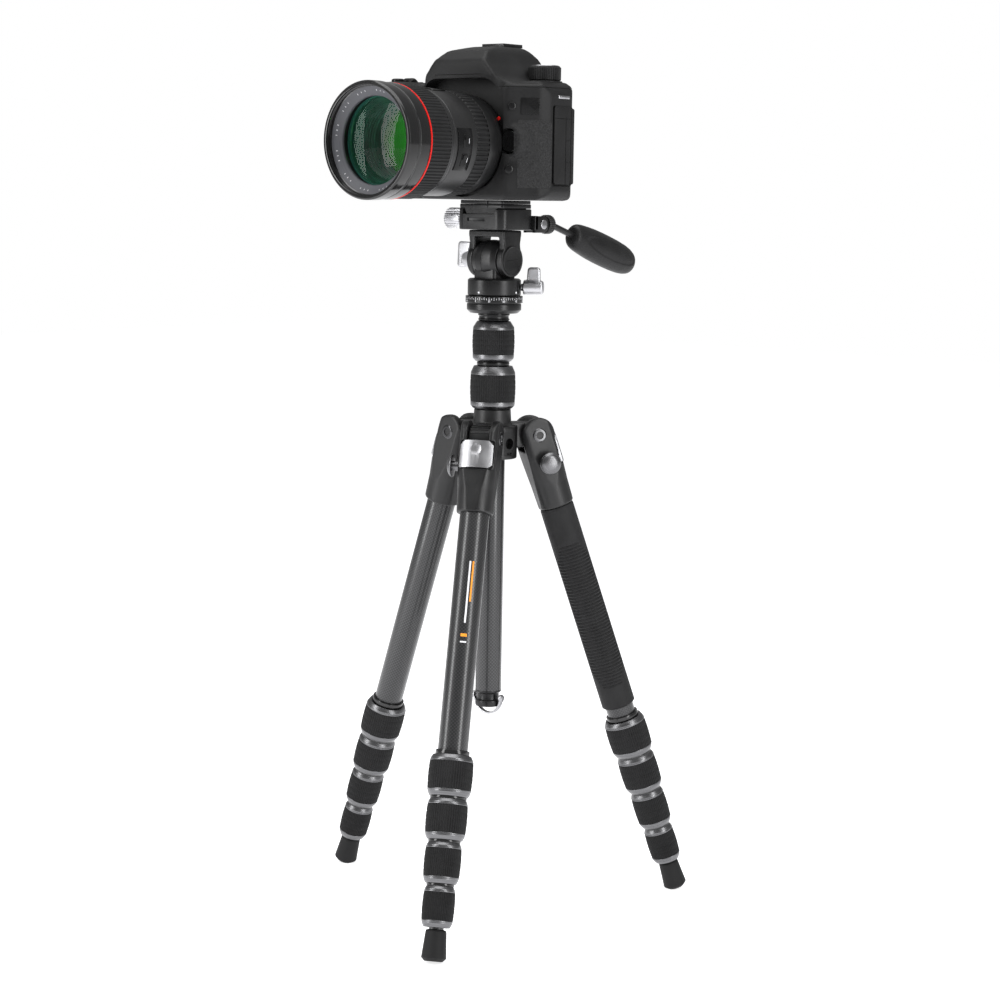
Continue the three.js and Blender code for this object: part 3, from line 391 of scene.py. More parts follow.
def rounded(points, arc_steps=4):
    """A polyline through (x, y, fillet radius) points with its corners rounded by arcs."""
    path = []
    count = len(points)
    for i, entry in enumerate(points):
        corner = Vector(entry[:2])
        radius = entry[2] if len(entry) > 2 else 0
        if radius <= 0:
            path.append(corner)
            continue
        before = (Vector(points[i - 1][:2]) - corner)
        after = (Vector(points[(i + 1) % count][:2]) - corner)
        half = before.angle(after) / 2
        reach = min(radius / math.tan(half), before.length * 0.49, after.length * 0.49)
        fitted = reach * math.tan(half)
        centre = corner + (before.normalized() + after.normalized()).normalized() * (fitted / math.sin(half))
        start = corner + before.normalized() * reach - centre
        sweep = math.pi - 2 * half
        turn = -1 if before.cross(after) > 0 else 1
        for step in range(arc_steps + 1):
            offset = start.copy()
            offset.rotate(Matrix.Rotation(turn * sweep * step / arc_steps, 2))
            path.append(centre + offset)
    return path


def add_loop(bm, points, to_3d):
    verts = [bm.verts.new(to_3d(point)) for point in points]
    edges = [bm.edges.new(pair) for pair in zip(verts, verts[1:])]
    return verts, edges


def turned(profile, steps=64, arc_steps=3):
    """A solid of revolution about Z from (radius, height, fillet) points."""
    bm = bmesh.new()
    points = rounded(profile, arc_steps)
    if profile[0][0] > 0:
        points.append(points[0])
    verts, edges = add_loop(bm, points, lambda point: Vector((point.x, 0, point.y)))
    bmesh.ops.spin(bm, geom=verts + edges, cent=(0, 0, 0), axis=(0, 0, 1), angle=FULL_TURN,
                   steps=steps, use_merge=True)
    bmesh.ops.remove_doubles(bm, verts=bm.verts, dist=1e-4)
    bmesh.ops.recalc_face_normals(bm, faces=bm.faces)
    wrap_coordinates(bm)
    return bm


def wrap_coordinates(bm):
    """Wrap coordinates in metres: around the piece, and along its profile."""
    layer = bm.loops.layers.uv.new("wrap")
    widest = max(vert.co.xy.length for vert in bm.verts)
    for face in bm.faces:
        middle = face.calc_center_median()
        base = math.atan2(middle.y, middle.x)
        for loop in face.loops:
            co = loop.vert.co
            angle = math.atan2(co.y, co.x)
            if angle - base > math.pi:
                angle -= FULL_TURN
            if base - angle > math.pi:
                angle += FULL_TURN
            loop[layer].uv = (angle * widest * MM, (co.z - co.xy.length) * MM)


def arc(radius, first, step, count, x=0.0, y=0.0):
    """Points on a circle, from a first angle on in equal steps of degrees."""
    angles = (math.radians(first + step * i) for i in range(count))
    return [(x + radius * math.cos(a), y + radius * math.sin(a)) for a in angles]


def oblong(x0, y0, x1, y1, radius=0.0):
    """A rectangle with its four corners rounded."""
    return [(x, y, radius) for x, y in ((x0, y0), (x1, y0), (x1, y1), (x0, y1))]


def extruded(points, depth, bevel=0.0, arc_steps=4, bevel_steps=2):
    """A prism from z = 0 to depth on a rounded outline, its rims bevelled."""
    bm = bmesh.new()
    verts = [bm.verts.new((point.x, point.y, 0)) for point in rounded(points, arc_steps)]
    bmesh.ops.remove_doubles(bm, verts=bm.verts, dist=1e-5)
    face = bm.faces.new(bm.verts)
    grown = bmesh.ops.extrude_face_region(bm, geom=[face])
    lifted = [item for item in grown["geom"] if isinstance(item, bmesh.types.BMVert)]
    bmesh.ops.translate(bm, verts=lifted, vec=(0, 0, depth))
    bmesh.ops.recalc_face_normals(bm, faces=bm.faces)
    if bevel > 0:
        rims = [edge for edge in bm.edges if abs(edge.verts[0].co.z - edge.verts[1].co.z) < 1e-6]
        bmesh.ops.bevel(bm, geom=rims, affect="EDGES", offset=bevel, segments=bevel_steps,
                        profile=0.5, material=-1, clamp_overlap=True)
    return bm


def block(size, centre, bevel=0.5, segments=3):
    """A box with every edge bevelled."""
    bm = bmesh.new()
    bmesh.ops.create_cube(bm, size=1)
    bmesh.ops.scale(bm, verts=bm.verts, vec=size)
    if bevel > 0:
        bmesh.ops.bevel(bm, geom=bm.edges[:], affect="EDGES", offset=bevel, segments=segments,
                        profile=0.5, material=-1, clamp_overlap=True)
    bmesh.ops.translate(bm, verts=bm.verts, vec=centre)
    return bm


def moved(bm, *matrices):
    for matrix in matrices:
        bmesh.ops.transform(bm, matrix=matrix, verts=bm.verts)
    return bm


def turn(degrees, axis):
    return Matrix.Rotation(math.radians(degrees), 4, axis)


def shift(x=0, y=0, z=0):
    return Matrix.Translation((x, y, z))


TOWARDS_X = turn(90, "Y")
TOWARDS_FRONT = turn(90, "X")
TOWARDS_BACK = turn(-90, "X")
SIDEWAYS = Matrix(((0, 0, 1, 0), (1, 0, 0, 0), (0, 1, 0, 0), (0, 0, 0, 1)))


def together(*meshes):
    """One bmesh that holds all the given ones."""
    whole = meshes[0]
    for other in meshes[1:]:
        carrier = bpy.data.meshes.new("carrier")
        other.to_mesh(carrier)
        other.free()
        whole.from_mesh(carrier)
        bpy.data.meshes.remove(carrier)
    return whole


def scratch_object(bm, name="scratch"):
    mesh = bpy.data.meshes.new(name)
    bm.to_mesh(mesh)
    bm.free()
    made = bpy.data.objects.new(name, mesh)
    bpy.context.scene.collection.objects.link(made)
    return made


def evaluated(made, *helpers):
    """The object's mesh with its modifiers applied, as a bmesh. The objects are deleted."""
    graph = bpy.context.evaluated_depsgraph_get()
    bm = bmesh.new()
    bm.from_mesh(made.evaluated_get(graph).to_mesh())
    for item in (made, *helpers):
        mesh = item.data
        bpy.data.objects.remove(item)
        bpy.data.meshes.remove(mesh)
    return bm


def combined(first, second, operation):
    """A boolean of two closed bmeshes: UNION, DIFFERENCE or INTERSECT."""
    base = scratch_object(first)
    tool = scratch_object(second, "tool")
    modifier = base.modifiers.new("boolean", "BOOLEAN")
    modifier.operation = operation
    modifier.solver = "EXACT"
    modifier.object = tool
    return evaluated(base, tool)


def softened(bm, times):
    for _ in range(times):
        bmesh.ops.smooth_vert(bm, verts=bm.verts, factor=0.5, use_axis_x=True, use_axis_y=True, use_axis_z=True)
    return bm


def fused(bm, voxel, smoothing=4):
    """The outer skin of overlapping closed shapes, with its inner corners softened."""
    made = scratch_object(bm)
    modifier = made.modifiers.new("skin", "REMESH")
    modifier.mode = "VOXEL"
    modifier.voxel_size = voxel
    return softened(evaluated(made), smoothing)


def piece(name, bm, material, body, place, crease=35, replaces=()):
    """Place a bmesh in the row frame as a finished piece that rides on a body."""
    bmesh.ops.transform(bm, matrix=place, verts=bm.verts)
    for edge in bm.edges:
        edge.smooth = not (len(edge.link_faces) == 2 and edge.calc_face_angle(0) > math.radians(crease))
    for face in bm.faces:
        face.smooth = True
    mesh = bpy.data.meshes.new(name)
    bm.to_mesh(mesh)
    bm.free()
    mesh.materials.append(material)
    made = bpy.data.objects.new(name, mesh)
    bpy.context.scene.collection.objects.link(made)
    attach(made, body)
    if replaces:
        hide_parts(*replaces)
    return made

# ---- Legs -----------------------------------------------------------------------------


def casting_shape():
    """Leg casting: two ears around the spider's tongue on a round tube socket."""
    radius = EAR + 0.2
    ground = [(-radius, -CASTING_LENGTH), (radius, -CASTING_LENGTH)]
    outline = extruded(ground + arc(radius, 0, 7.5, 25), CASTING_WIDTH, bevel=1.2)
    moved(outline, SIDEWAYS, shift(-CASTING_WIDTH / 2))
    envelope = turned([(0, EAR + 2), (CASTING_TOP, EAR + 2), (CASTING_TOP, -16), (CASTING_END + 0.8, -40, 20),
                       (CASTING_END, -CASTING_LENGTH, 1), (0, -CASTING_LENGTH)])
    shape = combined(outline, envelope, "INTERSECT")
    slot_floor = -10.2
    slot = block((2 * TONGUE + 0.6, 60, 60), (0, 0, slot_floor + 30), 0)
    shape = combined(shape, slot, "DIFFERENCE")
    pocket = block((LATCH_WIDTH + 0.8, 30, LATCH_HEIGHT + 0.8),
                   (0, -EAR + 3.1 - 15, -LATCH_TOP - LATCH_HEIGHT / 2), 0)
    shape = combined(shape, pocket, "DIFFERENCE")
    return fused(shape, 0.62, 3)


def bolt_head():
    return turned([(0, 0.6), (2.6, 0.6), (2.9, 1.5), (4.6, 1.5, 0.6), (5.6, 0.7, 0.5), (5.6, -0.6), (0, -0.6)], 40)


def latch_shape():
    half = LATCH_WIDTH / 2
    face = extruded([(-half, -LATCH_TOP - LATCH_HEIGHT, 0.8), (half - 2.6, -LATCH_TOP - LATCH_HEIGHT, 0.5),
                     (half, -LATCH_TOP - LATCH_HEIGHT + 2.6, 0.5), (half, -LATCH_TOP - 3.2, 0.6),
                     (half - 3.2, -LATCH_TOP, 0.6), (-half + 3.2, -LATCH_TOP, 0.6), (-half, -LATCH_TOP - 3.2, 0.6)],
                    20)
    moved(face, TOWARDS_FRONT, shift(0, -EAR + 2.8))
    front = turned([(0, 0), (16, 0), (16, -40), (0, -40)], 96)
    moved(front, Matrix.Diagonal((1.3, 1, 1, 1)), shift(0, 0.6))
    plate = combined(face, front, "INTERSECT")
    dish = bmesh.new()
    bmesh.ops.create_uvsphere(dish, u_segments=48, v_segments=24, radius=12)
    moved(dish, shift(0, -15.3 - 11.1, -LATCH_TOP - 7))
    return combined(plate, dish, "DIFFERENCE")


def button_shape():
    bm = turned([(0, -24.1), (5.4, -23.5, 6), (8.3, -21.2, 1.2), (8.5, -20.1, 0.3), (3.7, -20.1), (3.7, -12.2),
                 (0, -12.2)], 56, 5)
    return moved(bm, TOWARDS_X, shift(0, 0, -BUTTON_DROP))


def collar_rings(radius, top):
    """The two conical metal rings that hold a collar's rubber grip."""
    neck = radius - 2.2
    bore = neck - 1.5
    upper = turned([(bore, top), (neck, top, 0.3), (radius - 0.8, top - 2.7, 0.5), (radius - 0.7, top - 3.6, 0.1),
                    (radius - 0.35, top - 3.8, 0.1), (radius - 0.35, top - 4.6, 0.2),
                    (bore, top - 4.6)], 72)
    bottom = top - COLLAR_HEIGHT
    lower = turned([(bore, bottom), (bore, bottom + 4.9), (radius - 0.35, bottom + 4.9, 0.2),
                    (radius - 0.35, bottom + 4.1, 0.1), (radius - 0.7, bottom + 3.9, 0.1),
                    (radius - 0.8, bottom + 2.8, 0.6), (neck, bottom, 0.4)], 72)
    return together(upper, lower)


def grip_shape(radius, top, bottom, ribs, bands=4):
    """A rubber grip, slightly barrelled, with fine ribs in bands divided by thin grooves."""
    height = top - bottom
    levels = []
    for band in range(bands):
        low = band / bands
        high = (band + 1) / bands
        levels += [(low + 0.001, -0.22), (low + 0.03, 0.0), (high - 0.03, 0.0), (high - 0.001, -0.22)]
    profile = [(radius - 2, bottom)]
    for part, dip in levels:
        bulge = radius - 0.45 * (2 * part - 1) ** 2
        profile.append((bulge + dip, bottom + part * height))
    profile.append((radius - 2, top))
    bm = turned(profile, ribs * 3)
    rib_depth = 0.36
    for vert in bm.verts:
        reach = vert.co.xy.length
        if reach < radius - 1.2:
            continue
        column = round(math.atan2(vert.co.y, vert.co.x) / FULL_TURN * ribs * 3) % 3
        if column == 0:
            vert.co.xy *= (reach - rib_depth) / reach
    return bm


def seal_ring(radius, top, height=1.6):
    low = top - height
    return turned([(radius - 2, low), (radius, low, 0.2), (radius, top, 0.2), (radius - 2, top)], 56)


def tube_shape(radius, top, bottom, wall=TUBE_WALL):
    return turned([(radius - wall, bottom), (radius, bottom, 0.15), (radius, top, 0.15), (radius - wall, top)], 72)


def foot_shape():
    top = -LEG_LENGTH + FOOT_HEIGHT
    floor = -LEG_LENGTH
    return turned([
        (0, top + 0.5), (5.6, top + 0.5), (FOOT_TOP - 0.5, top, 0.4), (FOOT_TOP, top - 1.2, 0.4),
        (FOOT_END, floor + FOOT_ROUND, 0.6), (FOOT_END - FOOT_ROUND, floor, 2), (0, floor)], 64, 4)


def flatten_on_ground(made):
    """Rubber that reaches below the ground is pressed flat onto it."""
    for vert in made.data.vertices:
        vert.co.z = max(vert.co.z, 0.0)


def sleeve_shape():
    """Foam sleeve with a patch of ribs on its inner side."""
    top, bottom, radius = -CASTING_LENGTH - 0.4, -226.0, 13.1
    spacing = 0.65
    heights = [bottom + spacing * step for step in range(int((top - bottom) / spacing) + 1)]
    profile = [(TUBE + 0.2, bottom), (radius - 1.2, bottom + 0.05)]
    profile += [(radius, height) for height in heights[2:-2]]
    profile += [(radius - 0.5, top - 0.1), (TUBE + 0.2, top)]
    bm = turned(profile, 96)
    for vert in bm.verts:
        reach = vert.co.xy.length
        height = vert.co.z
        if reach < radius - 0.8:
            continue
        angle = math.degrees(math.atan2(vert.co.x, vert.co.y))
        side = abs((angle + 75 + 180) % 360 - 180)
        taper = min((height + 208) / 14, (-88 - height) / 14, 1)
        if taper > 0 and side < 30 + 38 * taper:
            wave = math.cos(FULL_TURN * height / (spacing * 4))
            vert.co.xy *= (reach - 0.5 + 0.5 * wave) / reach
    return bm


def curved_mark(radius, angle, height, wide, tall):
    """A thin printed bar laid on a tube."""
    bm = bmesh.new()
    bmesh.ops.create_grid(bm, x_segments=8, y_segments=2, size=0.5)
    bmesh.ops.scale(bm, verts=bm.verts, vec=(wide, tall, 1))
    for vert in bm.verts:
        turned_by = angle + vert.co.x / radius
        vert.co = Vector((radius * math.sin(turned_by), -radius * math.cos(turned_by), height + vert.co.y))
    bmesh.ops.recalc_face_normals(bm, faces=bm.faces)
    bmesh.ops.solidify(bm, geom=bm.faces[:], thickness=0.04)
    return bm


def dress_leg(leg, casting):
    place = leg_frame(leg)

    def add(name, bm, material, part="leg", crease=35, node=None):
        replaced = [f"{leg}_{node}"] if node else ()
        return piece(f"{leg}_{name}", bm, material, f"{leg}_{part}", place, crease, replaced)

    add("casting", casting, casting_black, crease=60, node="leg_casting")
    for way, side in ((-1, "left"), (1, "right")):
        outwards, seat = turn(90 * way, "Y"), shift(way * (CASTING_WIDTH / 2 - 0.9))
        add(f"bolt_head_{side}", moved(bolt_head(), outwards, seat), bolt_steel)
        # Painted shade: a near-black hexagon in the head's hollow stands for the shade inside the hex socket.
        socket = moved(extruded(arc(2.4, 0, 60, 6), 0.2), shift(z=0.62), outwards, seat)
        add(f"bolt_socket_{side}", socket, shade_and_print_black)
    add("bolt_shaft", moved(cylinder(3.05, -13.4, 13.4, 32), TOWARDS_X), bolt_chrome,
        node="hinge_bolt")
    add("latch_plate", latch_shape(), cast_silver, "latch", 25, "angle_latch")
    add("button_dome", button_shape(), turned_silver, "button", 40, "release_button")
    add("tube_1", tube_shape(TUBE, -TUBE_TOP, -COLLAR_TOP - COLLAR_HEIGHT + 8), carbon, node="upper_tube")
    add("tube_ring", seal_ring(TUBE + 1.5, -COLLAR_TOP + 3.6, 3.3), gloss_seal)
    for n, radius in enumerate(COLLARS, 1):
        first = n == 1
        part = "collar" if first else f"section_{n}"
        top = -(COLLAR_TOP + (n - 1) * COLLAR_PITCH)
        add(f"collar_{n}_rings", collar_rings(radius, top), turned_silver, part, 30,
            "twist_collar" if first else None)
        grip = grip_shape(radius, top - 4.5, top - COLLAR_HEIGHT + 4.8, 56)
        add(f"collar_{n}_grip", grip, grip_rubber, part, 30)
        if first:
            continue
        tube_top = -TUBE_TOP - GAP - (n - 1) * NEST_STEP
        tube = tube_shape(TUBE - (n - 1) * TUBE_STEP, tube_top, top - COLLAR_HEIGHT + 2)
        add(f"tube_{n}", tube, carbon, part, node=f"leg_section_{n}")
        add(f"seal_{n}", seal_ring(radius - 1.6, top + 1.5, 1.7), gloss_seal, part)
    last = tube_shape(TUBE - 4 * TUBE_STEP, -TUBE_TOP - GAP - 4 * NEST_STEP, -LEG_LENGTH + FOOT_HEIGHT - 2)
    add("tube_5", last, carbon, "foot")
    flatten_on_ground(add("rubber_foot", foot_shape(), foot_rubber, "foot", node="foot_section"))


def dress_legs():
    master = casting_shape()
    for leg in LEGS:
        dress_leg(leg, master.copy())
    master.free()
    place = leg_frame("right")
    piece("right_leg_sleeve", sleeve_shape(), foam_sleeve, "right_leg", place, 50)
    front = leg_frame("front")
    marks = [(0.25, -118, 1.3, 46, white_mark), (0.46, -110, 1.3, 30, orange_mark),
             (0.25, -150, 4.6, 2.2, orange_mark), (0.25, -155, 4.6, 1.1, white_mark)]
    for i, (*spot, paint) in enumerate(marks):
        piece(f"front_leg_mark_{i + 1}", curved_mark(TUBE + 0.05, *spot), paint, "front_leg", front)

# ---- Spider and centre column ---------------------------------------------------------


def ribbed(profile, ribs, depth, beyond, per_rib=4, arc_steps=3):
    """A turned piece whose skin beyond a radius carries straight ribs."""
    bm = turned(profile, ribs * per_rib, arc_steps)
    for vert in bm.verts:
        reach = vert.co.xy.length
        if reach < beyond:
            continue
        column = round(math.atan2(vert.co.y, vert.co.x) / FULL_TURN * ribs * per_rib) % per_rib
        if column >= per_rib / 2:
            vert.co.xy *= (reach - depth) / reach
    return bm


def cylinder(radius, low, high, steps=48, bevel=0.0):
    return turned([(0, low), (radius, low, bevel), (radius, high, bevel), (0, high)], steps)


LEG_TURNS = [math.degrees(math.atan2(*(place_of(f"{leg}_leg_swing") - column_point).xy.yx)) for leg in LEGS]
HINGE_REACH = (place_of("front_leg_swing") - column_point).xy.length / MM
SOCKET_TURN = LEG_TURNS[0] + 60


def spider_shape():
    bm = turned([(0, -18), (18.9, -18, 1), (19.2, 6.8, 1.2), (15.2, 7.6), (14.4, 9, 1), (13.9, 19.4), (0, 19.4)],
                96)
    for angle in LEG_TURNS:
        tongue = extruded(arc(9.5, -100, 10, 21, HINGE_REACH) + [(8, 9.3), (8, -9.6)], 2 * TONGUE, 0.8)
        moved(tongue, shift(z=-TONGUE), turn(90, "X"), turn(angle, "Z"))
        bm = together(bm, tongue)
    bm = fused(bm, 0.55, 3)
    bm = combined(bm, cylinder(10.25, -30, 30, 64), "DIFFERENCE")
    for angle in LEG_TURNS:
        flat = moved(block((6, 13, 18), (18.1 + 3, 0, -6), 0), turn(angle + 60, "Z"))
        bm = combined(bm, flat, "DIFFERENCE")
    hole = moved(cylinder(4.2, 12.5, 30, 40), TOWARDS_X, shift(z=-6), turn(SOCKET_TURN, "Z"))
    slot = moved(block((3, 5, 1.4), (18, 0, -13.4), 0.3), turn(SOCKET_TURN, "Z"))
    bm = combined(bm, hole, "DIFFERENCE")
    return combined(bm, slot, "DIFFERENCE")


def tongue_ridges():
    bm = bmesh.new()
    for angle in LEG_TURNS:
        for step in range(5):
            ridge = block((1.0, 2 * TONGUE - 2.4, 0.7), (0, 0, 9.6), 0.25)
            moved(ridge, turn(-8 + 17 * step, "Y"), shift(HINGE_REACH), turn(angle, "Z"))
            bm = together(bm, ridge)
    return bm


def add_chassis(name, bm, material, body, crease=35, replaces=()):
    return piece(name, bm, material, body, CHASSIS, crease, replaces)


def column_collar(name, body, radius, neck, bottom, height, node):
    top = bottom + height
    bore = 10.4
    rings = together(
        turned([(bore, top), (neck, top, 0.4), (radius - 0.6, top - 4.4, 0.6), (radius - 0.3, top - 6.2, 0.2),
                (bore, top - 6.2)], 80),
        turned([(bore, bottom), (bore, bottom + 5.4), (radius - 0.3, bottom + 5.4, 0.2),
                (radius - 0.5, bottom + 2.2, 0.8), (radius - 2.6, bottom, 0.6)], 80))
    add_chassis(f"{name}_rings", rings, turned_silver, body, 30, [node])
    add_chassis(f"{name}_grip", grip_shape(radius, top - 6, bottom + 5.2, 64, 5), grip_rubber, body, 30)


def bail_shape(pivot):
    outer, inner, rise = 13.6, 12.1, 2.4
    outline = [(outer, rise)] + arc(outer, 0, -5.625, 33) + [(-outer, rise), (-inner, rise)]
    outline += arc(inner, -180, 5.625, 33) + [(inner, rise)]
    bm = extruded(outline, 4, 0.35)
    moved(bm, shift(z=-2), TOWARDS_FRONT)
    for way in (-1, 1):
        boss = turned([(0, -1.0), (2.9, -1.0, 0.4), (2.9, 1.1, 0.7), (0, 1.4)], 40)
        bm = together(bm, moved(boss, turn(90 * way, "Y"), shift(way * 13)))
    return moved(bm, shift(z=pivot))


def dress_chassis():
    add_chassis("spider_casting", spider_shape(), casting_black, "spider", 40, ["spider"])
    add_chassis("tongue_ridges", tongue_ridges(), casting_black, "spider")
    flange_low, tube_bottom = 52.2, -197.7
    tube = turned([(8.9, tube_bottom), (10, tube_bottom, 0.2), (10, 79.7, 0.2), (8.9, 79.7)], 80)
    add_chassis("column_carbon", tube, carbon, "column", 35, ["column_tube"])
    cap = turned([(0, -209.2), (9.8, -209.2, 0.8), (9.9, -204.4, 0.5), (8.3, -203.8, 0.3), (8.3, -199.4),
                  (10.05, -198, 0.3), (10.05, -196.6, 0.3), (9.8, -196.4), (0, -196.4)], 72)
    add_chassis("column_cap", cap, anodised_black, "column")
    flange = turned([(10, flange_low), (12.1, flange_low, 0.4), (12.35, flange_low + 1.5, 0.5),
                     (12.1, flange_low + 3, 0.4), (10, flange_low + 3)], 72)
    add_chassis("column_flange", flange, anodised_black, "column")
    add_chassis("hook_bail", bail_shape(place_z("hook_swing")), turned_silver_plain, "hook", 35,
          ["weight_hook"])
    column_collar("lower_collar", "lower_collar", 17.2, 14.6, 19.9, 32, "lower_column_collar")
    column_collar("upper_collar", "upper_collar", 15.95, 12.55, 55.5, 30.2, "upper_column_collar")
    inner = turned([(0, -150), (8.6, -150), (8.6, 85), (11.2, 86, 0.3), (12, 87, 0.4), (11.2, 88, 0.5),
                    (11.2, 89.6, 0.5), (12, 90.4, 0.4), (11.8, 91.6), (0, 91.6)], 72)
    add_chassis("inner_column_black", inner, anodised_black, "inner_column", 35, ["inner_column"])

# ---- Pan-and-tilt head ----------------------------------------------------------------

BASE_BOTTOM = height_of("head_base")
SCALE_BOTTOM = BASE_BOTTOM + 7.8
PAN_BOTTOM = height_of("pan_body")
TILT_AXIS = place_z("tilt")
YOKE_TOP = height_of("tilt_yoke", 1)
CLAMP_BOTTOM = height_of("clamp_jaw")
CLAMP_TOP = height_of("clamp_jaw", 1)
PLATE_TOP = height_of("quick_release_plate", 1)
SEGMENTS = {"0": "abcdef", "1": "bc", "2": "abged", "3": "abgcd", "4": "fgbc", "5": "afgcd", "6": "afgedc",
            "7": "abc", "8": "abcdefg", "9": "abfgcd"}


def figure_bars(text, height):
    """Upright bars (x, z, width, height) that draw a number with plain strokes."""
    wide, stroke, step = height * 0.5, height * 0.14, height * 0.75
    spots = {"a": (0, height / 2, wide, stroke), "g": (0, 0, wide, stroke), "d": (0, -height / 2, wide, stroke),
             "f": (-wide / 2, height / 4, stroke, height / 2), "b": (wide / 2, height / 4, stroke, height / 2),
             "e": (-wide / 2, -height / 4, stroke, height / 2), "c": (wide / 2, -height / 4, stroke, height / 2)}
    bars = []
    for i, digit in enumerate(text):
        offset = (i - (len(text) - 1) / 2) * step
        bars += [(spots[key][0] + offset, *spots[key][1:]) for key in SEGMENTS[digit]]
    return bars


def printed_ring(radius, height, marks):
    """Thin printed bars (angle, x, z, width, height) on a cylinder about Z."""
    bm = bmesh.new()
    for angle, x, z, wide, tall in marks:
        bar = block((wide, 0.08, tall), (0, 0, 0), 0)
        moved(bar, turn(angle, "Z") @ turn(math.degrees(x / radius), "Z") @ shift(0, -radius - 0.01, height + z))
        bm = together(bm, bar)
    return bm


def wing_knob(stem, stem_length, hub, hub_length, wing, thickness, taper=0.6):
    """A lock knob along +Z: stem and round hub, with a wing in the plane of Y and Z."""
    bm = turned([(0, 0.3), (stem, 0.3), (stem, stem_length), (hub, stem_length, 0.8),
                 (hub - taper, stem_length + hub_length, 1.4), (0, stem_length + hub_length)], 48)
    blade = moved(extruded(wing, thickness, thickness * 0.35, 6, 3), SIDEWAYS, shift(-thickness / 2))
    return fused(together(bm, blade), 0.42, 3)


def yoke_shape():
    outer, thick, half, low = 17.4, 5.6, 10.5, YOKE_TOP - 4.9
    outline = arc(12.8, 140, 10, 27, 0, TILT_AXIS)
    outline += [(9.2, TILT_AXIS + 12, 3), (half, low + 2, 2), (half, low + 3), (-half, low + 3),
                (-half, low + 2, 2),
                (-9.2, TILT_AXIS + 12, 3)]
    bm = block((2 * outer, 2 * half, 4.9), (0, 0, YOKE_TOP - 2.45), 0.9)
    for way in (-1, 1):
        ear = extruded(outline, thick, 0.9)
        moved(ear, SIDEWAYS, shift(way * (outer - thick / 2) - thick / 2))
        bm = together(bm, ear)
    return fused(bm, 0.5, 3)


def clamp_plan(z0, z1, bevel=1.0, grow=0.0):
    x, y, r = 23 + grow, 19 + grow, 7
    return moved(extruded(oblong(-x, -y, x, y, r), z1 - z0, bevel, 8, 3), shift(z=z0))


def across_y(outline, y0, y1):
    bm = extruded(outline, y1 - y0)
    return moved(bm, TOWARDS_FRONT, shift(0, y1))


def clamp_shapes():
    floor = CLAMP_TOP - 4.1
    body = clamp_plan(CLAMP_BOTTOM, CLAMP_TOP)
    channel = across_y([(-40, floor), (14.1, floor), (16.1, CLAMP_TOP), (16.1, CLAMP_TOP + 5),
                        (-40, CLAMP_TOP + 5)], -30, 30)
    body = combined(body, channel, "DIFFERENCE")
    body = combined(body, block((40, 80, 60), (-16.1 - 20, 0, CLAMP_BOTTOM + 8), 0), "DIFFERENCE")
    body = combined(body, block((17, 3, 2.6), (-3, -19, CLAMP_TOP - 8), 0.4), "DIFFERENCE")
    jaw = clamp_plan(CLAMP_BOTTOM, CLAMP_TOP)
    keep = across_y([(-60, CLAMP_BOTTOM - 1), (-16.4, CLAMP_BOTTOM - 1), (-16.4, floor + 0.3),
                     (-15.9, CLAMP_TOP + 1),
                     (-60, CLAMP_TOP + 1)], -30, 30)
    jaw = combined(jaw, keep, "INTERSECT")
    return body, jaw


def fork_shape(x, y, z):
    bm = block((11.8, 4, z + 6.4 - CLAMP_BOTTOM), (x, 17.6, (CLAMP_BOTTOM + z + 6.4) / 2), 0.6)
    for way in (-1, 1):
        ear = extruded([(-10, -6.2)] + arc(6.2, -90, 12, 16) + [(-10, 6.2)], 3.1, 0.5)
        bm = together(bm, moved(ear, SIDEWAYS, shift(x + way * 4.35 - 1.55, y, z)))
    return bm


def handle_shapes(x, y, z):
    droop = turn(-17, "X")
    place = shift(x, y, z)
    eye = block((5, 12, 10.5), (0, 1.5, 0), 2.2, 4)
    collar = ribbed([(0, 6.8), (6.2, 6.8, 0.4), (7.2, 7.8, 0.5), (7.2, 13, 0.6), (5.2, 14.6, 0.5), (0, 14.6)], 28,
                    0.35, 6.6)
    rod = moved(cylinder(2.4, -4, 40, 32), TOWARDS_BACK, droop, shift(0, 14.7))
    metal = moved(together(eye, moved(collar, TOWARDS_BACK), rod), place)
    screw = moved(turned([(0, -6.6), (3.6, -6.6, 0.6), (3.6, 6.6, 0.6), (0, 6.6)], 40), TOWARDS_X, place)
    end = Vector((0, 14.7, 0)) + Vector((0, 27 * math.cos(math.radians(17)), -27 * math.sin(math.radians(17))))
    widths = ((0, 0.5), (0.02, 0.68), (0.05, 0.78), (0.1, 0.85), (0.2, 0.92), (0.3, 0.97), (0.42, 0.995), (0.55, 1),
              (0.68, 0.985), (0.8, 0.94), (0.88, 0.86), (0.94, 0.74), (0.975, 0.6), (0.995, 0.38), (1, 0.2))
    fine = []
    for (a0, w0), (a1, w1) in zip(widths, widths[1:]):
        count = max(1, round((a1 - a0) * 60))
        fine += [(a0 + (a1 - a0) * i / count, w0 + (w1 - w0) * i / count) for i in range(count)]
    grip = turned([(0, 0)] + [(w * 12.4, a * 80) for a, w in fine] + [(2.4, 80), (0, 80)], 96)
    softened(grip, 2)
    for vert in grip.verts:
        oval = math.hypot(vert.co.y / 6.6, (vert.co.z - 43) / 31)
        if abs(vert.co.x) > 4:
            dip = min(max((1.06 - oval) / 0.1, 0), 1)
            vert.co.x -= math.copysign(0.75 * dip, vert.co.x)
    moved(grip, Matrix.Diagonal((0.8, 1, 1, 1)), TOWARDS_BACK, droop, Matrix.Translation(end), place)
    return metal, screw, grip


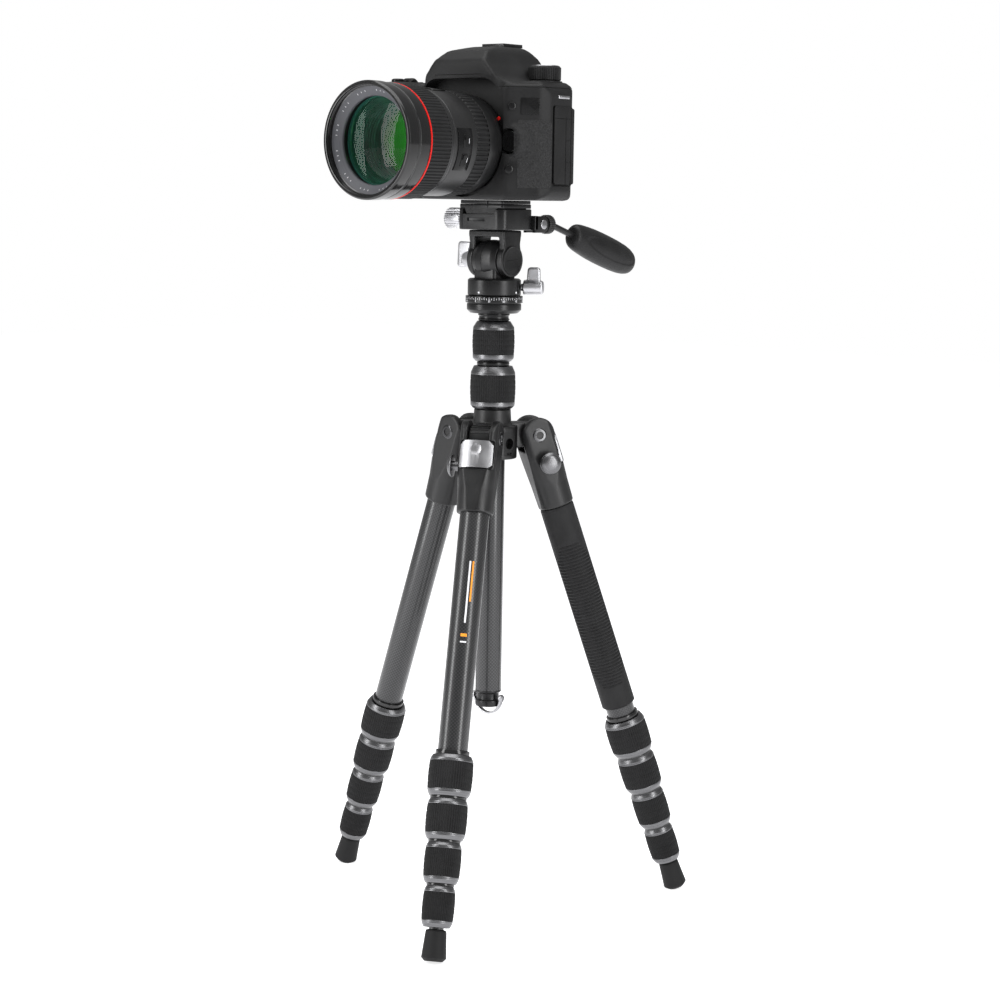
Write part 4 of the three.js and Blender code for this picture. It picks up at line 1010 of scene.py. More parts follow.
def dress_head():
    base = turned([(0, BASE_BOTTOM), (18, BASE_BOTTOM, 0.6), (20.5, BASE_BOTTOM + 2.5, 0.8),
                   (20.5, SCALE_BOTTOM - 1.2, 0.3), (19.7, SCALE_BOTTOM - 0.4, 0.3), (21.55, SCALE_BOTTOM, 0.4),
                   (21.55, SCALE_BOTTOM + 5.1, 0.4), (0, SCALE_BOTTOM + 5.1)], 112)
    add_chassis("head_base_turned", base, anodised_black, "inner_column", 30, ["head_base"])
    ticks = [(a, 0, 1.6 - (1.1 if a % 10 else 0.8), 0.26, 1.1 if a % 10 else 1.9) for a in range(0, 360, 5)]
    for a in range(0, 360, 30):
        ticks += [(a, x, z - 1.1, wide, tall) for x, z, wide, tall in figure_bars(str(min(a, 360 - a)), 1.2)]
    add_chassis("pan_scale_marks", printed_ring(21.55, SCALE_BOTTOM + 2.6, ticks), white_mark,
          "inner_column")
    top = PAN_BOTTOM + 12.6
    disc = turned([(0, PAN_BOTTOM), (19.6, PAN_BOTTOM, 0.3), (20.05, PAN_BOTTOM + 0.6, 0.3),
                   (20.05, top - 1.2, 1), (18.6, top, 0.6), (0, top)], 112)
    barrel = moved(turned([(0, -11.4), (13.2, -11.4, 0.5), (14.6, -7, 4), (15.2, -1.5), (14.9, -1.2), (14.9, -0.8),
                           (15.2, -0.5), (15.2, 0.5), (14.6, 7, 4), (13.2, 11.4, 0.5), (0, 11.4)], 96),
                   TOWARDS_X, shift(z=TILT_AXIS))
    pedestal = block((21, 25, TILT_AXIS - top + 6), (0, 0, (TILT_AXIS + top) / 2 - 2), 2.4, 4)
    add_chassis("pan_body_turned", together(disc, barrel, pedestal), machined_black, "pan", 30,
                ["pan_body"])
    dots = together(*[moved(cylinder(0.75, 0, 0.12, 24), TOWARDS_FRONT, shift(0, -20.03, PAN_BOTTOM + 2.4),
                            turn(a, "Z")) for a in (5, 95)])
    add_chassis("pan_index_dots", dots, white_mark, "pan")
    pan_wing = [(-3, 4.3, 1.5), (15.2, 5.3, 2.4), (15.2, 14.8, 2.4), (-3, 15.3, 1.5)]
    knob = wing_knob(2.8, 2.3, 5.7, 15, pan_wing, 4.2)
    moved(knob, TOWARDS_FRONT, shift(0, -20.05, PAN_BOTTOM + 6.3), turn(120, "Z"))
    add_chassis("pan_wing_knob", knob, bright_silver, "pan_knob", 40, ["pan_lock_knob"])
    add_chassis("tilt_yoke_machined", yoke_shape(), machined_black, "tilt", 45, ["tilt_yoke"])
    for way, side in ((-1, "left"), (1, "right")):
        disc = turned([(0, 0), (10.9, 0), (10.9, 0.9, 0.3), (10.2, 0.9, 0.2), (9.9, 0.6, 0.2), (0, 0.6)], 72)
        moved(disc, turn(90 * way, "Y"), shift(way * 17.3, 0, TILT_AXIS))
        add_chassis(f"tilt_end_disc_{side}", disc, anodised_black, "tilt")
    # Painted shade: a dark bar across the end disc stands for the shade in a slot.
    line = moved(block((0.5, 12.4, 1.0), (17.85, 0, 0), 0.1), turn(4, "X"), shift(z=TILT_AXIS))
    add_chassis("tilt_end_slot", line, shade_and_print_black, "tilt")
    tilt_wing = [(-6, 6, 2), (6, 7.5, 3), (13, 6, 2), (13.5, 19.5, 2.4), (-6.5, 18, 2.4)]
    knob = wing_knob(3.6, 1.8, 8.2, 11, tilt_wing, 4.8, 4.2)
    moved(knob, turn(-82, "Z"), turn(-90, "Y"), shift(-17.4, 0, TILT_AXIS))
    add_chassis("tilt_wing_knob", knob, bright_silver, "tilt_knob", 40, ["tilt_lock_knob"])
    body, jaw = clamp_shapes()
    x, y, z = 20, 26, CLAMP_BOTTOM + 4.4
    add_chassis("clamp_block", together(body, fork_shape(x, y, z)), machined_black, "tilt", 30,
          ["clamp_body"])
    add_chassis("clamp_jaw_block", jaw, machined_black, "jaw", 30, ["clamp_jaw"])
    knob_z = (CLAMP_BOTTOM + CLAMP_TOP) / 2
    knob = ribbed([(0, 29.4), (6.8, 29.4), (7.2, 29.6), (8.1, 30.2, 0.6), (8.1, 44.6, 0.8), (6.6, 45.5, 0.6),
                   (5.4, 45.1, 0.3), (0, 45.1)], 26, 0.7, 7.6)
    moved(knob, turn(-90, "Y"), shift(z=knob_z))
    add_chassis("clamp_knob_ribbed", knob, turned_silver_knob, "clamp_knob", 30, ["clamp_knob"])
    flange = turned([(0, 17.4), (3, 17.4), (3, 23.3), (7.2, 23.3, 0.4), (7.2, 29.5, 0.4), (0, 29.5)], 56)
    moved(flange, turn(-90, "Y"), shift(z=knob_z))
    add_chassis("clamp_knob_flange", flange, anodised_black, "clamp_knob")
    low = moved(extruded(oblong(-21.5, -17, 21.5, 17, 2), 3.1, 0.5), shift(z=CLAMP_TOP + 0.3))
    high = moved(extruded(oblong(-21.2, -16.7, 21.2, 16.7, 2), 2.7, 0.4), shift(z=PLATE_TOP - 2.7))
    foot = across_y([(-13.8, CLAMP_TOP - 3.8), (13.8, CLAMP_TOP - 3.8), (15.8, CLAMP_TOP), (15.8, CLAMP_TOP + 0.8),
                     (-15.8, CLAMP_TOP + 0.8), (-15.8, CLAMP_TOP)], -17, 17)
    # Painted shade: a dark bar on the plate's side stands for the shade in a groove.
    groove = block((0.5, 0.6, 5.4), (6.5, -17.05, PLATE_TOP - 2.9), 0.1)
    add_chassis("plate_slab", together(low, high, foot), machined_black, "camera", 30,
          ["quick_release_plate"])
    add_chassis("plate_edge_line", groove, shade_and_print_black, "camera")
    metal, screw, grip = handle_shapes(x, y, z)
    add_chassis("handle_rod_bent", metal, anodised_black_plain, "handle", 30, ["handle_rod"])
    add_chassis("handle_screw", screw, bolt_chrome, "tilt")
    add_chassis("handle_grip_moulded", grip, handle_plastic, "handle", 50, ["handle_grip"])

# ---- Camera ---------------------------------------------------------------------------

LENS_RISE = (place_of("zoom_turn").z - camera_base) / MM
MOUNT = -35
LENS_BUTTON_X, LENS_BUTTON_Z = 42.2, LENS_RISE + 2
SHUTTER_SPOT = shift(-70, -33)
DIAL_SPOT = shift(41, 5)
MOUNT_SLOPE = turn(44, "Z")
TO_LENS = CAMERA @ shift(0, MOUNT - GAP, LENS_RISE) @ TOWARDS_FRONT


def upright(outline, z0, z1, bevel=0.0, steps=3):
    return moved(extruded(outline, z1 - z0, bevel, 6, steps), shift(z=z0))


def across_x(outline, x0, x1, bevel=0.0):
    return moved(extruded(outline, x1 - x0, bevel, 6), SIDEWAYS, shift(x0))


def arch(half, high, radius):
    """An opening outline in X and Z: round below the lens axis, squared with big corners above."""
    high += LENS_RISE
    return arc(half, 180, 7.5, 25, 0, LENS_RISE) + [(half, high, radius), (-half, high, radius)]


def camera_skin():
    body = upright([(-85, 18, 9), (-85, -44, 11), (-58, -46, 9), (-53, -25, 5), (-44, -25, 6), (-42, -39, 3),
                    (41, -38.5, 2.5), (59, -21, 7), (63, -13, 6), (63, 18, 11)], 0, 84, 5, 5)
    slab = upright([(-84, 17, 9), (-84, -43, 11), (-58, -45, 9), (-53, -25, 5), (60, -20, 6), (62.4, -12, 5),
                    (62.4, 17, 11)], 76, 86.7, 6, 5)
    shoulder_front = across_y([(-50, 70), (50, 70), (50, 82, 4), (36, 87, 14), (26, 99, 16), (17, 112.5, 12),
                               (-17, 112.5, 12), (-26, 99, 16), (-36, 87, 14), (-50, 82, 4)], -60, 40)
    shoulder_side = across_x([(-40, 70), (-44.2, 90, 2), (-45.2, 100.5, 5), (-35, 108.5, 9), (-14, 112.6, 20),
                              (12, 112.6, 6), (22, 103.5, 5), (22, 70)], -60, 60)
    shoulder_plan = upright([(-60, 60), (-60, -22, 12), (-38, -38, 16), (-19.5, -60, 8), (19.5, -60, 8),
                             (38, -38, 16), (60, -22, 12), (60, 60)], 60, 130)
    prism = combined(combined(shoulder_front, shoulder_side, "INTERSECT"), shoulder_plan, "INTERSECT")
    ends = across_y([(-85.4, -0.2, 7), (63.4, -0.2, 10), (63.4, 86.9, 13), (-85.4, 86.9, 9)], -60, 30)
    grip_top = upright([(-84, -6, 8), (-84, -43, 11), (-58, -45, 9), (-53, -14, 8)], 60, 85.5, 3.5, 4)
    boss = moved(turned([(0, 10), (16, 10), (13.5, 33, 4), (11.5, 36.6, 1.2), (0, 36.6)], 48), TOWARDS_FRONT,
                 shift(LENS_BUTTON_X, 0, LENS_BUTTON_Z))
    trunk = combined(fused(together(body, slab, grip_top), 1.1, 1), ends, "INTERSECT")
    return fused(together(trunk, prism, boss), 1.1, 5)


def camera_cuts(skin):
    opening = extruded(arch(38.6, 47.6, 17), 40, 0, 8)
    moved(opening, TOWARDS_FRONT, shift(0, MOUNT + 3.5))
    skin = combined(skin, opening, "DIFFERENCE")
    button = moved(cylinder(9.3, 22, 60, 56), TOWARDS_FRONT, shift(LENS_BUTTON_X, 0, LENS_BUTTON_Z))
    skin = combined(skin, button, "DIFFERENCE")
    ports = across_x(oblong(-11.4, 10.6, 14.2, 68.8, 2), 60.9, 80)
    skin = combined(skin, ports, "DIFFERENCE")
    wheel = moved(cylinder(17.4, 0, 12, 64), TOWARDS_BACK, shift(-56, 16.4, 30))
    skin = combined(skin, wheel, "DIFFERENCE")
    shutter = moved(cylinder(5.4, 84, 99, 40), SHUTTER_SPOT)
    return combined(skin, shutter, "DIFFERENCE")


def swollen(bm, amount):
    grown = bm.copy()
    grown.normal_update()
    for vert in grown.verts:
        vert.co += vert.normal * amount
    return grown


def seams(skin):
    """Cut the skin into front body, rear cover and top cover, a hair apart."""
    wide = (400, 400, 400)
    top = combined(skin.copy(), block(wide, (0, 0, 81.7 + 200), 0), "INTERSECT")
    low = combined(skin, block(wide, (0, 0, 81.4 - 200), 0), "INTERSECT")
    front = combined(low.copy(), block(wide, (0, 10.3 - 200, 0), 0), "INTERSECT")
    rear = combined(low, block(wide, (0, 10.6 + 200, 0), 0), "INTERSECT")
    flash = block((46, 50, 0.3), (0, -30, 90.6), 0)
    top = combined(top, flash, "DIFFERENCE")
    return front, rear, top


def leather_panels(skin):
    grown = swollen(skin, 0.28)
    right = upright([(47.5, -40, 1), (80, -40), (80, 7, 3), (47.5, 7)], 9, 58, 0)
    right_cut = across_x([(-40, 9, 4), (-12.4, 9, 2), (-12.4, 58, 4), (-40, 58, 4)], 40, 80)
    grip = across_y([(-100, 6), (-49.5, 6, 4), (-49.5, 60, 4), (-62, 76, 8), (-100, 76)], -60, 8)
    rear = across_y([(-100, 49, 3), (-77, 49, 6), (-63, 76, 4), (-100, 76)], 10, 40)
    return (combined(combined(grown.copy(), right, "INTERSECT"), right_cut, "INTERSECT"),
            combined(grown.copy(), grip, "INTERSECT"), combined(grown, rear, "INTERSECT"))


def disc_button(x, y, z, radius, proud, towards="front", dish=0.2):
    profile = [(0, -1), (radius, -1), (radius, proud, 0.35), (radius * 0.6, proud - dish, 0.4), (0, proud - dish)]
    matrix = {"front": TOWARDS_FRONT, "top": Matrix.Identity(4), "back": TOWARDS_BACK}[towards]
    return moved(turned(profile, 36), matrix, shift(x, y, z))


def slope_y(x):
    """Depth of the slanted face beside the lens mount."""
    return -38.5 + 0.972 * (x - 41)


def slope_button(x, z, radius, proud):
    button = turned([(0, -2), (radius, -2), (radius, proud, 0.5), (radius * 0.6, proud + 0.3, 0.8),
                     (0, proud + 0.4)], 36)
    return moved(button, TOWARDS_FRONT, MOUNT_SLOPE, shift(x, slope_y(x), z))


def knurled_dial(radius, low, high, ribs=44):
    return ribbed([(0, low), (radius - 0.5, low), (radius, low + 0.6, 0.2), (radius, high - 1.4, 0.3),
                   (radius - 1.2, high, 0.4), (0, high)], ribs, 0.45, radius - 0.9)


def add_camera(name, bm, material, body="camera", crease=30, replaces=()):
    return piece(name, bm, material, body, CAMERA, crease, replaces)


def dress_camera():
    skin = camera_skin()
    panels = leather_panels(skin.copy())
    front, rear, top = seams(camera_cuts(skin))
    add_camera("body_shell", front, camera_plastic, crease=40, replaces=["camera_body"])
    add_camera("rear_shell", rear, camera_plastic, crease=40, replaces=["rear_cover"])
    add_camera("top_shell", top, camera_plastic, crease=40, replaces=["top_cover"])
    for label, panel in zip(("side", "grip", "thumb"), panels):
        add_camera(f"{label}_leather", panel, leather, crease=40)
    # Painted shade: a darker sheet on the floor of the lens recess.
    floor = moved(extruded(arch(38.2, 47.2, 16), 0.8, 0.2), TOWARDS_FRONT, shift(0, MOUNT + 3.6))
    add_camera("mount_recess_floor", floor, shade_and_print_black)
    mount = turned([(26, -6), (34.4, -6), (34.4, 0, 0.3), (33.4, 0.3, 0.2), (27, 0.3, 0.2), (26, -0.5)], 96)
    add_camera("mount_ring", moved(mount, TOWARDS_FRONT, shift(0, MOUNT, LENS_RISE)), turned_silver)
    dot = moved(turned([(0, 0), (1.5, 0), (1.3, 0.5, 0.3), (0, 0.7)], 24), TOWARDS_FRONT, shift(31.5, -35.0, 59))
    add_camera("mount_index", dot, red_paint)
    button = turned([(0, 24), (8.5, 24), (8.5, 28.6, 0.5), (7.4, 29.5, 0.6), (4, 28.9, 2), (0, 28.7)], 64)
    moved(button, TOWARDS_FRONT, shift(LENS_BUTTON_X, -6, LENS_BUTTON_Z))
    add_camera("lens_button", button, gloss_plastic, "lens_release",
               replaces=["lens_release_button"])
    add_camera("flash_button", slope_button(44.1, 67.7, 3.0, 1.5), gloss_plastic)
    add_camera("preview_button", slope_button(43.0, 22.5, 3.2, 1.7), gloss_plastic)
    badge = moved(extruded(oblong(-7, -6, 7, 6, 1), 0.7, 0.25), TOWARDS_FRONT)
    moved(badge, MOUNT_SLOPE, shift(53.6, slope_y(53.6) + 0.2, 67.8))
    add_camera("blank_badge", badge, gloss_plastic)
    # Painted shade: dark dots, standing slightly proud, stand for the shade inside the microphone holes.
    holes = [moved(cylinder(0.5, -0.5, 0.35, 16), TOWARDS_FRONT, MOUNT_SLOPE, shift(x, slope_y(x), z))
             for x, z in ((48.8, 77.4), (50.4, 79.2), (50.4, 75.6), (52.0, 77.4))]
    add_camera("microphone_holes", together(*holes), shade_and_print_black)
    for x, side in ((62.6, "right"), (-84.6, "left")):
        eye = block((1.6, 9, 1), (x + math.copysign(1.4, x), 0.5, 75), 0.4)
        lug = together(block((3.2, 13, 2.6), (x, 0.5, 75), 0.9), eye)
        add_camera(f"strap_lug_{side}", lug, bolt_chrome)
    dress_ports()
    dress_top()
    dress_back()
    socket = turned([(4, 0.4), (9, 0.4), (9, -0.1, 0.2), (4, -0.1)], 48)
    add_camera("tripod_socket", socket, turned_silver)


def dress_ports():
    door = across_x(oblong(-9.5, 12, 9.5, 69, 2.4), 61.2, 63.35, 0.5)
    for cut in (block((1, 60, 0.5), (63.4, 0, 59.6), 0), block((1, 0.5, 60), (63.4, 3.6, 31), 0),
                block((1, 8, 0.4), (63.4, 7, 44), 0), block((1, 8, 0.4), (63.4, 7, 28), 0)):
        door = combined(door, cut, "DIFFERENCE")
    add_camera("port_cover", door, door_rubber, "port_door", replaces=["port_door"])
    frame_plate = across_x(oblong(-11.3, 10.8, 14.1, 68.6, 2), 59.6, 61.0, 0.2)
    add_camera("port_well", frame_plate, door_rubber)
    flap = across_x(oblong(10.2, 12.2, 13.8, 67.2, 1.5), 61.0, 63.1, 0.5)
    add_camera("port_hinge_strip", flap, door_rubber)


def dress_top():
    high = 86.7
    dial_low = height_in_camera("mode_dial")
    dial_high = height_in_camera("mode_dial", 1)
    add_camera("mode_dial_knurled", moved(knurled_dial(12.2, dial_low, dial_high - 0.4), DIAL_SPOT),
               camera_plastic, body="mode_dial", replaces=["mode_dial"])
    cap = turned([(0, dial_high - 0.6), (10.6, dial_high - 0.6), (10.2, dial_high, 0.2), (0, dial_high)], 64)
    add_camera("mode_dial_cap", moved(cap, DIAL_SPOT), turned_silver_plain, "mode_dial")
    marks = together(*[moved(block((0.5, 1.6 if step % 3 else 2.4, 0.12), (0, 8.1, dial_high), 0),
                             turn(30 * step, "Z"), DIAL_SPOT) for step in range(12)])
    add_camera("mode_dial_marks", marks, shade_and_print_black, body="mode_dial")
    seat = turned([(0, 84), (13.4, 84), (13.2, high + 0.5, 0.4), (0, high + 0.5)], 64)
    add_camera("mode_dial_seat", moved(seat, DIAL_SPOT), camera_plastic)
    button = turned([(0, 85.5), (5, 85.5), (5, 88.6, 0.5), (3.6, 89.4, 1), (0, 88.9)], 48)
    add_camera("shutter_dome", moved(button, SHUTTER_SPOT), gloss_plastic, "shutter",
               replaces=["shutter_button"])
    ring = turned([(5.5, 84), (7.6, 84), (7.2, high + 0.2, 0.6), (5.5, high + 0.3, 0.2)], 48)
    add_camera("shutter_collar", moved(ring, SHUTTER_SPOT), camera_plastic)
    dial = moved(knurled_dial(6.8, -4.5, 4.5, 30), TOWARDS_X, shift(-70, -19.5, 83.6))
    add_camera("main_dial", dial, camera_plastic)
    display = moved(extruded(oblong(-20, -13, 14, 11, 2), 1.2, 0.4), shift(-55, 3, 86))
    add_camera("top_display", display, screen_gloss)
    for x in (-64, -55.5, -47):
        add_camera(f"top_button_{int(-x)}", disc_button(x, -14.5, high, 2.1, 0.9, "top"), gloss_plastic)
    shoe_high = 114.9
    base = block((21, 22, 1.0), (0, 5, 112.9), 0.2)
    rails = [block((1.6, 20.6, 2.2), (way * 9.7, 5.6, shoe_high - 1.1), 0.25) for way in (-1, 1)]
    lips = [block((3.6, 20.6, 0.8), (way * 8.5, 5.6, shoe_high - 0.4), 0.2) for way in (-1, 1)]
    stop = block((21, 1.6, 2.2), (0, -5.2, shoe_high - 1.1), 0.3)
    add_camera("accessory_shoe_rails", together(base, *rails, *lips, stop), machined_black)
    contacts = together(*[moved(cylinder(r, 113.3, 113.55, 24), shift(x, y)) for x, y, r in
                          ((0, 6, 1.6), (-3.6, 2, 0.9), (3.6, 2, 0.9), (-3.6, 9.5, 0.9), (3.6, 9.5, 0.9))])
    add_camera("shoe_contacts", contacts, bolt_chrome)


def dress_back():
    frame_rim = across_y(oblong(-37, 9, 37, 66, 3), 17, 19.6)
    add_camera("screen_frame", frame_rim, camera_plastic)
    screen = across_y(oblong(-33.5, 13.5, 33.5, 61.5, 1.2), 19, 19.9)
    add_camera("screen", screen, screen_gloss)
    cup = across_y([(-17, 87, 5), (17, 87, 5), (16, 107, 6), (-16, 107, 6)], 18, 28.5)
    window = across_y(oblong(-10.5, 91, 10.5, 102.5, 2.5), 22, 40)
    add_camera("eyecup", combined(cup, window, "DIFFERENCE"), grip_rubber)
    glass = across_y(oblong(-10, 91.4, 10, 102, 2.2), 21.6, 22.6)
    add_camera("eyepiece_glass", glass, screen_gloss)
    wheel = ribbed([(0, 0), (16.8, 0), (17, 0.5, 0.2), (16.6, 2.9, 0.4), (7.4, 2.6, 0.3), (7.2, 1.6), (0, 1.6)], 60,
                   0.35, 16)
    moved(wheel, TOWARDS_BACK, shift(-56, 16.8, 30))
    add_camera("rear_wheel", wheel, camera_plastic, body="control_wheel", replaces=["control_wheel"])
    add_camera("rear_wheel_button", disc_button(-56, 18.4, 30, 6.4, 1.2, "back", 0.4), gloss_plastic)
    for i, (x, z, r) in enumerate(((-45, 72, 2.6), (-68, 71, 2.2), (-76, 71, 2.2), (-32, 75, 2.3), (30, 75, 2.3),
                                   (44, 58, 2.3), (44, 48, 2.3), (44, 38, 2.3), (44, 28, 2.3))):
        add_camera(f"back_button_{i + 1}", disc_button(x, 17.8, z, r, 1.1, "back"), gloss_plastic)
    stick = moved(turned([(0, 0), (4.4, 0), (4.2, 1.4, 0.5), (2.4, 1.7, 0.4), (2.2, 3.2, 0.5), (0, 3.4)], 40),
                  TOWARDS_BACK, shift(-56, 17.6, 58))
    add_camera("selector_stick", stick, camera_plastic)

# ---- Lens -----------------------------------------------------------------------------


def barrel_ring(profile):
    """A finely stepped ring about the lens axis."""
    return turned(profile, 128)


def add_lens(name, bm, material, body="camera", crease=30, replaces=()):
    return piece(name, bm, material, body, TO_LENS, crease, replaces)


def on_barrel(bm, radius, along, angle):
    """Wrap a flat plate (x across, y along the barrel, z out) onto the barrel at an angle from +X."""
    for vert in bm.verts:
        out = radius + vert.co.z
        around = math.radians(angle) + vert.co.x / radius
        vert.co = Vector((out * math.cos(around), out * math.sin(around), along - vert.co.y))
    bmesh.ops.recalc_face_normals(bm, faces=bm.faces)
    return bm


def plate(width, height, thickness, bevel=0.2, cuts=8):
    bm = block((width, height, thickness), (0, 0, 0), bevel, 2)
    step = width / cuts
    for i in range(1, cuts):
        x = -width / 2 + i * step
        bmesh.ops.bisect_plane(bm, geom=bm.verts[:] + bm.edges[:] + bm.faces[:], plane_co=(x, 0, 0),
                               plane_no=(1, 0, 0))
    return bm


def lens_face(edge, top, rise, steps=10):
    """The round face of a glass element, from its edge to its middle."""
    curve = (edge * edge + rise * rise) / (2 * rise)
    lean = math.asin(edge / curve)
    return [(curve * math.sin(lean * step / steps), top - curve * (1 - math.cos(lean * step / steps)))
            for step in range(steps, 0, -1)] + [(0, top)]


def dress_lens():
    base = barrel_ring([(30, 0), (35.2, 0, 0.3), (36.1, 1.6, 0.4), (36.1, 5.2, 0.4), (36.8, 6.2, 0.3),
                        (37.4, 15.9, 0.3), (33, 15.9)])
    add_lens("lens_base", base, satin_barrel, replaces=["lens_barrel"])
    sleeve = barrel_ring([(33.8, 15.5), (34.9, 15.5), (34.9, 81.8), (33.8, 81.8)])
    add_lens("lens_sleeve", sleeve, satin_barrel)
    focus = ribbed([(35.9, 16.3), (37.7, 16.3, 0.3), (38.2, 17.3, 0.2), (38.2, 29.2, 0.2), (37.7, 30.2, 0.3),
                    (35.9, 30.2)], 68, 0.95, 37.4, 6)
    add_lens("focus_ring_ribbed", focus, ring_rubber, "focus_ring", replaces=["focus_ring"])
    band = barrel_ring([(35, 30.5), (37.9, 30.5, 0.3), (38.3, 31.2, 0.2), (38.3, 54.2, 0.2), (38.05, 54.5),
                        (38.05, 55.0), (38.5, 55.4, 0.2), (38.5, 60.2, 0.3), (35, 60.5)])
    add_lens("lens_band", band, satin_barrel)
    line = barrel_ring([(38.2, 56.6), (38.62, 56.6), (38.62, 56.9), (38.2, 56.9)])
    add_lens("band_silver_line", line, turned_silver)
    zoom = ribbed([(35.9, 60.8), (40.0, 60.8, 0.4), (40.7, 62, 0.3), (40.7, 80.6, 0.3), (40.0, 81.8, 0.4),
                   (35.9, 81.8)], 96, 0.7, 40, 5)
    add_lens("zoom_ring_ribbed", zoom, ring_rubber, "zoom_ring", replaces=["zoom_ring"])
    window = on_barrel(plate(22, 13, 1.0, 0.3), 38.6, 42, 90)
    add_lens("distance_window", window, screen_gloss)
    panel_radius, panel_along, panel_angle = 38.5, 44.5, -8
    panel = on_barrel(plate(31, 15, 1.2, 0.4, 12), panel_radius, panel_along, panel_angle)
    add_lens("switch_panel", panel, gloss_plastic)
    for i, offset in enumerate((-7.2, 6.4)):
        angle = panel_angle + math.degrees(offset / panel_radius)
        # Painted shade: a matt near-black seat under each switch stands for the shade in its slot.
        seat = on_barrel(plate(9.6, 5.4, 0.5, 0.15), 39.2, panel_along, angle)
        add_lens(f"switch_seat_{i + 1}", seat, shade_and_print_black)
        knob = on_barrel(plate(3.6, 4.2, 1.5, 0.3), 39.7, panel_along, angle + math.degrees(2.2 / panel_radius))
        add_lens(f"switch_knob_{i + 1}", knob, gloss_plastic)
        mark = on_barrel(plate(3.6, 0.35, 0.12, 0.0), 39.15, 40.9, angle)
        add_lens(f"switch_mark_{i + 1}", mark, white_mark)
    red = barrel_ring([(38, 82.1), (41.0, 82.1, 0.2), (41.25, 82.6, 0.2), (41.25, 83.6, 0.2), (38, 84)])
    add_lens("red_ring", red, red_paint, "front_group")
    gloss = barrel_ring([(39.4, 84), (41.0, 84, 0.3), (41.3, 85, 0.3), (41.2, 94, 0.6), (40.2, 95, 0.4),
                         (40.2, 96, 0.3), (41.6, 96.6, 0.4), (41.8, 97.4, 0.3), (41.8, 106.2, 0.5),
                         (40.8, 107.3, 0.5), (38.6, 107.3, 0.3), (38.6, 105.9),
                         (38.1, 105.6), (38.6, 105.3), (38.1, 105), (38.6, 104.7), (38.1, 104.4),
                         (38.4, 103.9), (38.4, 102.4), (37.8, 102.2)])
    add_lens("front_barrel_gloss", gloss, gloss_barrel, "front_group", replaces=["front_barrel"])
    sleeve = barrel_ring([(32.6, 50), (33.5, 50), (33.5, 84), (41, 84), (41, 96), (32.6, 96)])
    add_lens("front_inner_sleeve", sleeve, satin_barrel, "front_group")
    name_ring = barrel_ring([(31.2, 96.2), (38.4, 96.2), (38.4, 102.5, 0.2), (31.6, 97.9, 0.3), (31.2, 97.2)])
    add_lens("grey_front_ring", name_ring, ring_grey, "front_group")
    ticks = bmesh.new()
    for step in range(60):
        if step % 5 < 2:
            continue
        bar = block((0.4, 1.1, 0.1), (0, 0, 0), 0)
        moved(bar, turn(33.8, "X"), shift(0, 35.2, 100.35), turn(6 * step, "Z"))
        ticks = together(ticks, bar)
    add_lens("front_ring_ticks", ticks, white_mark, "front_group")
    dome = turned([(0, 89.6), (30.5, 89.6)] + lens_face(30.5, 96.3, 6.1), 160)
    add_lens("front_glass", dome, coated_glass(), "front_group", 60, ["front_element"])
    profile = [(31.1, 92), (31.1, 88)]
    for i in range(12):
        r = 30.4 - i * 0.6
        profile += [(r, 87.6 - i * 1.6), (r - 0.15, 86.4 - i * 1.6)]
    profile += [(22.6, 64), (32, 60), (32, 92)]
    baffles = turned(profile, 96)
    add_lens("inner_baffles", baffles, baffle_green(), "front_group", 20)
    core = turned([(0, 62), (23.4, 62)] + lens_face(23.4, 68.5, 4.5), 128)
    add_lens("inner_element", core, inner_green(), "front_group", 60)

# ---- Floor, light and camera ----------------------------------------------------------


def soft_light(name, where, target, size, power):
    data = bpy.data.lights.new(name, "AREA")
    data.shape = "RECTANGLE"
    data.size, data.size_y = size
    data.energy = power
    made = bpy.data.objects.new(name, data)
    bpy.context.scene.collection.objects.link(made)
    made.location = where
    made.rotation_euler = (Vector(target) - Vector(where)).to_track_quat("-Z", "Y").to_euler()


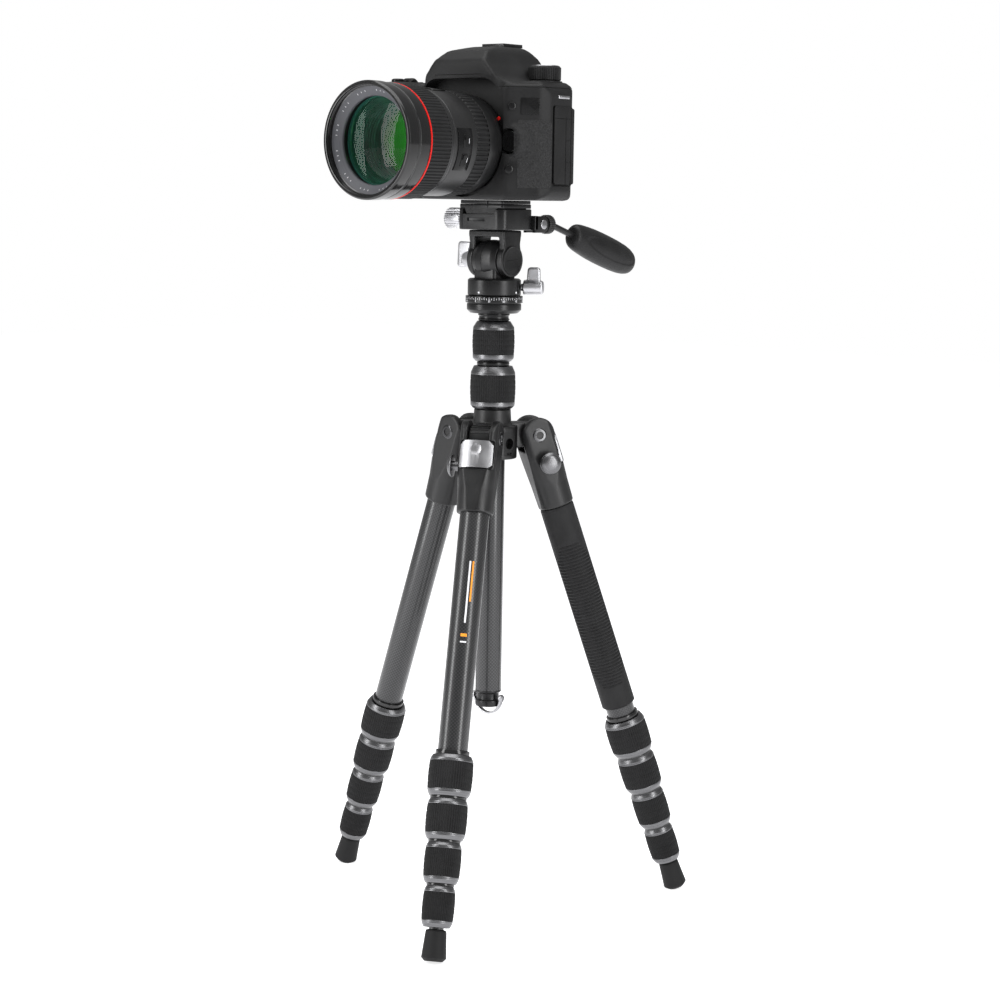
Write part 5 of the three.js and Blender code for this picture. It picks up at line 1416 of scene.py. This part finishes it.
def pale_paper(name, glow):
    """White studio paper that is evenly lit from behind."""
    paper = grained(name, grey(0.8), grey(0.83), 0.8, 20.0, 0.00001, 0.02)
    shader = next(node for node in paper.node_tree.nodes if node.type == "BSDF_PRINCIPLED")
    shader.inputs["Emission Color"].default_value = (1, 1, 1, 1)
    shader.inputs["Emission Strength"].default_value = glow
    return paper


def set_stage():
    floor_bm = bmesh.new()
    bmesh.ops.create_grid(floor_bm, x_segments=1, y_segments=1, size=6)
    mesh = bpy.data.meshes.new("floor")
    floor_bm.to_mesh(mesh)
    floor_bm.free()
    floor = bpy.data.objects.new("floor", mesh)
    bpy.context.scene.collection.objects.link(floor)
    mesh.materials.append(pale_paper("pale_floor", 0.72))
    world = bpy.data.worlds.new("studio")
    bpy.context.scene.world = world
    world.use_nodes = True
    background = world.node_tree.nodes["Background"]
    background.inputs["Color"].default_value = (1, 1, 1, 1)
    sky = Graph(world.node_tree)
    seen = sky.node("ShaderNodeLightPath").outputs["Is Camera Ray"]
    sky.feed(background.inputs["Strength"], sky.ramp(seen, 0.0, 1.0, 0.36, 1.0))
    middle = (column_point.x, column_point.y, 0.36)
    soft_light("left_strip", (-0.55, -1.25, 0.75), middle, (0.4, 1.6), 15)
    soft_light("right_strip", (1.45, -0.15, 0.75), middle, (0.4, 1.6), 15)
    soft_light("top_panel", (0.1, -0.2, 1.9), middle, (1.6, 1.6), 26)
    bpy.context.scene.view_settings.view_transform = "Standard"
    data = bpy.data.cameras.new("view")
    data.sensor_width = 36
    data.lens = 86.632
    view = bpy.data.objects.new("view", data)
    bpy.context.scene.collection.objects.link(view)
    right = Vector((0.7644558, 0.6444879, 0.0155827))
    up = Vector((-0.0928601, 0.0861619, 0.9919441))
    away = -Vector((-0.6379533, 0.7597444, -0.1257142))
    spot = Vector((column_point.x + 1.173856, column_point.y - 1.3874, hinge_plane + 0.18))
    view.matrix_world = Matrix.Translation(spot) @ Matrix((right, up, away)).transposed().to_4x4()
    bpy.context.scene.camera = view

# ---- Build ----------------------------------------------------------------------------

dress_legs()
dress_chassis()
dress_head()
dress_camera()
dress_lens()
set_stage()
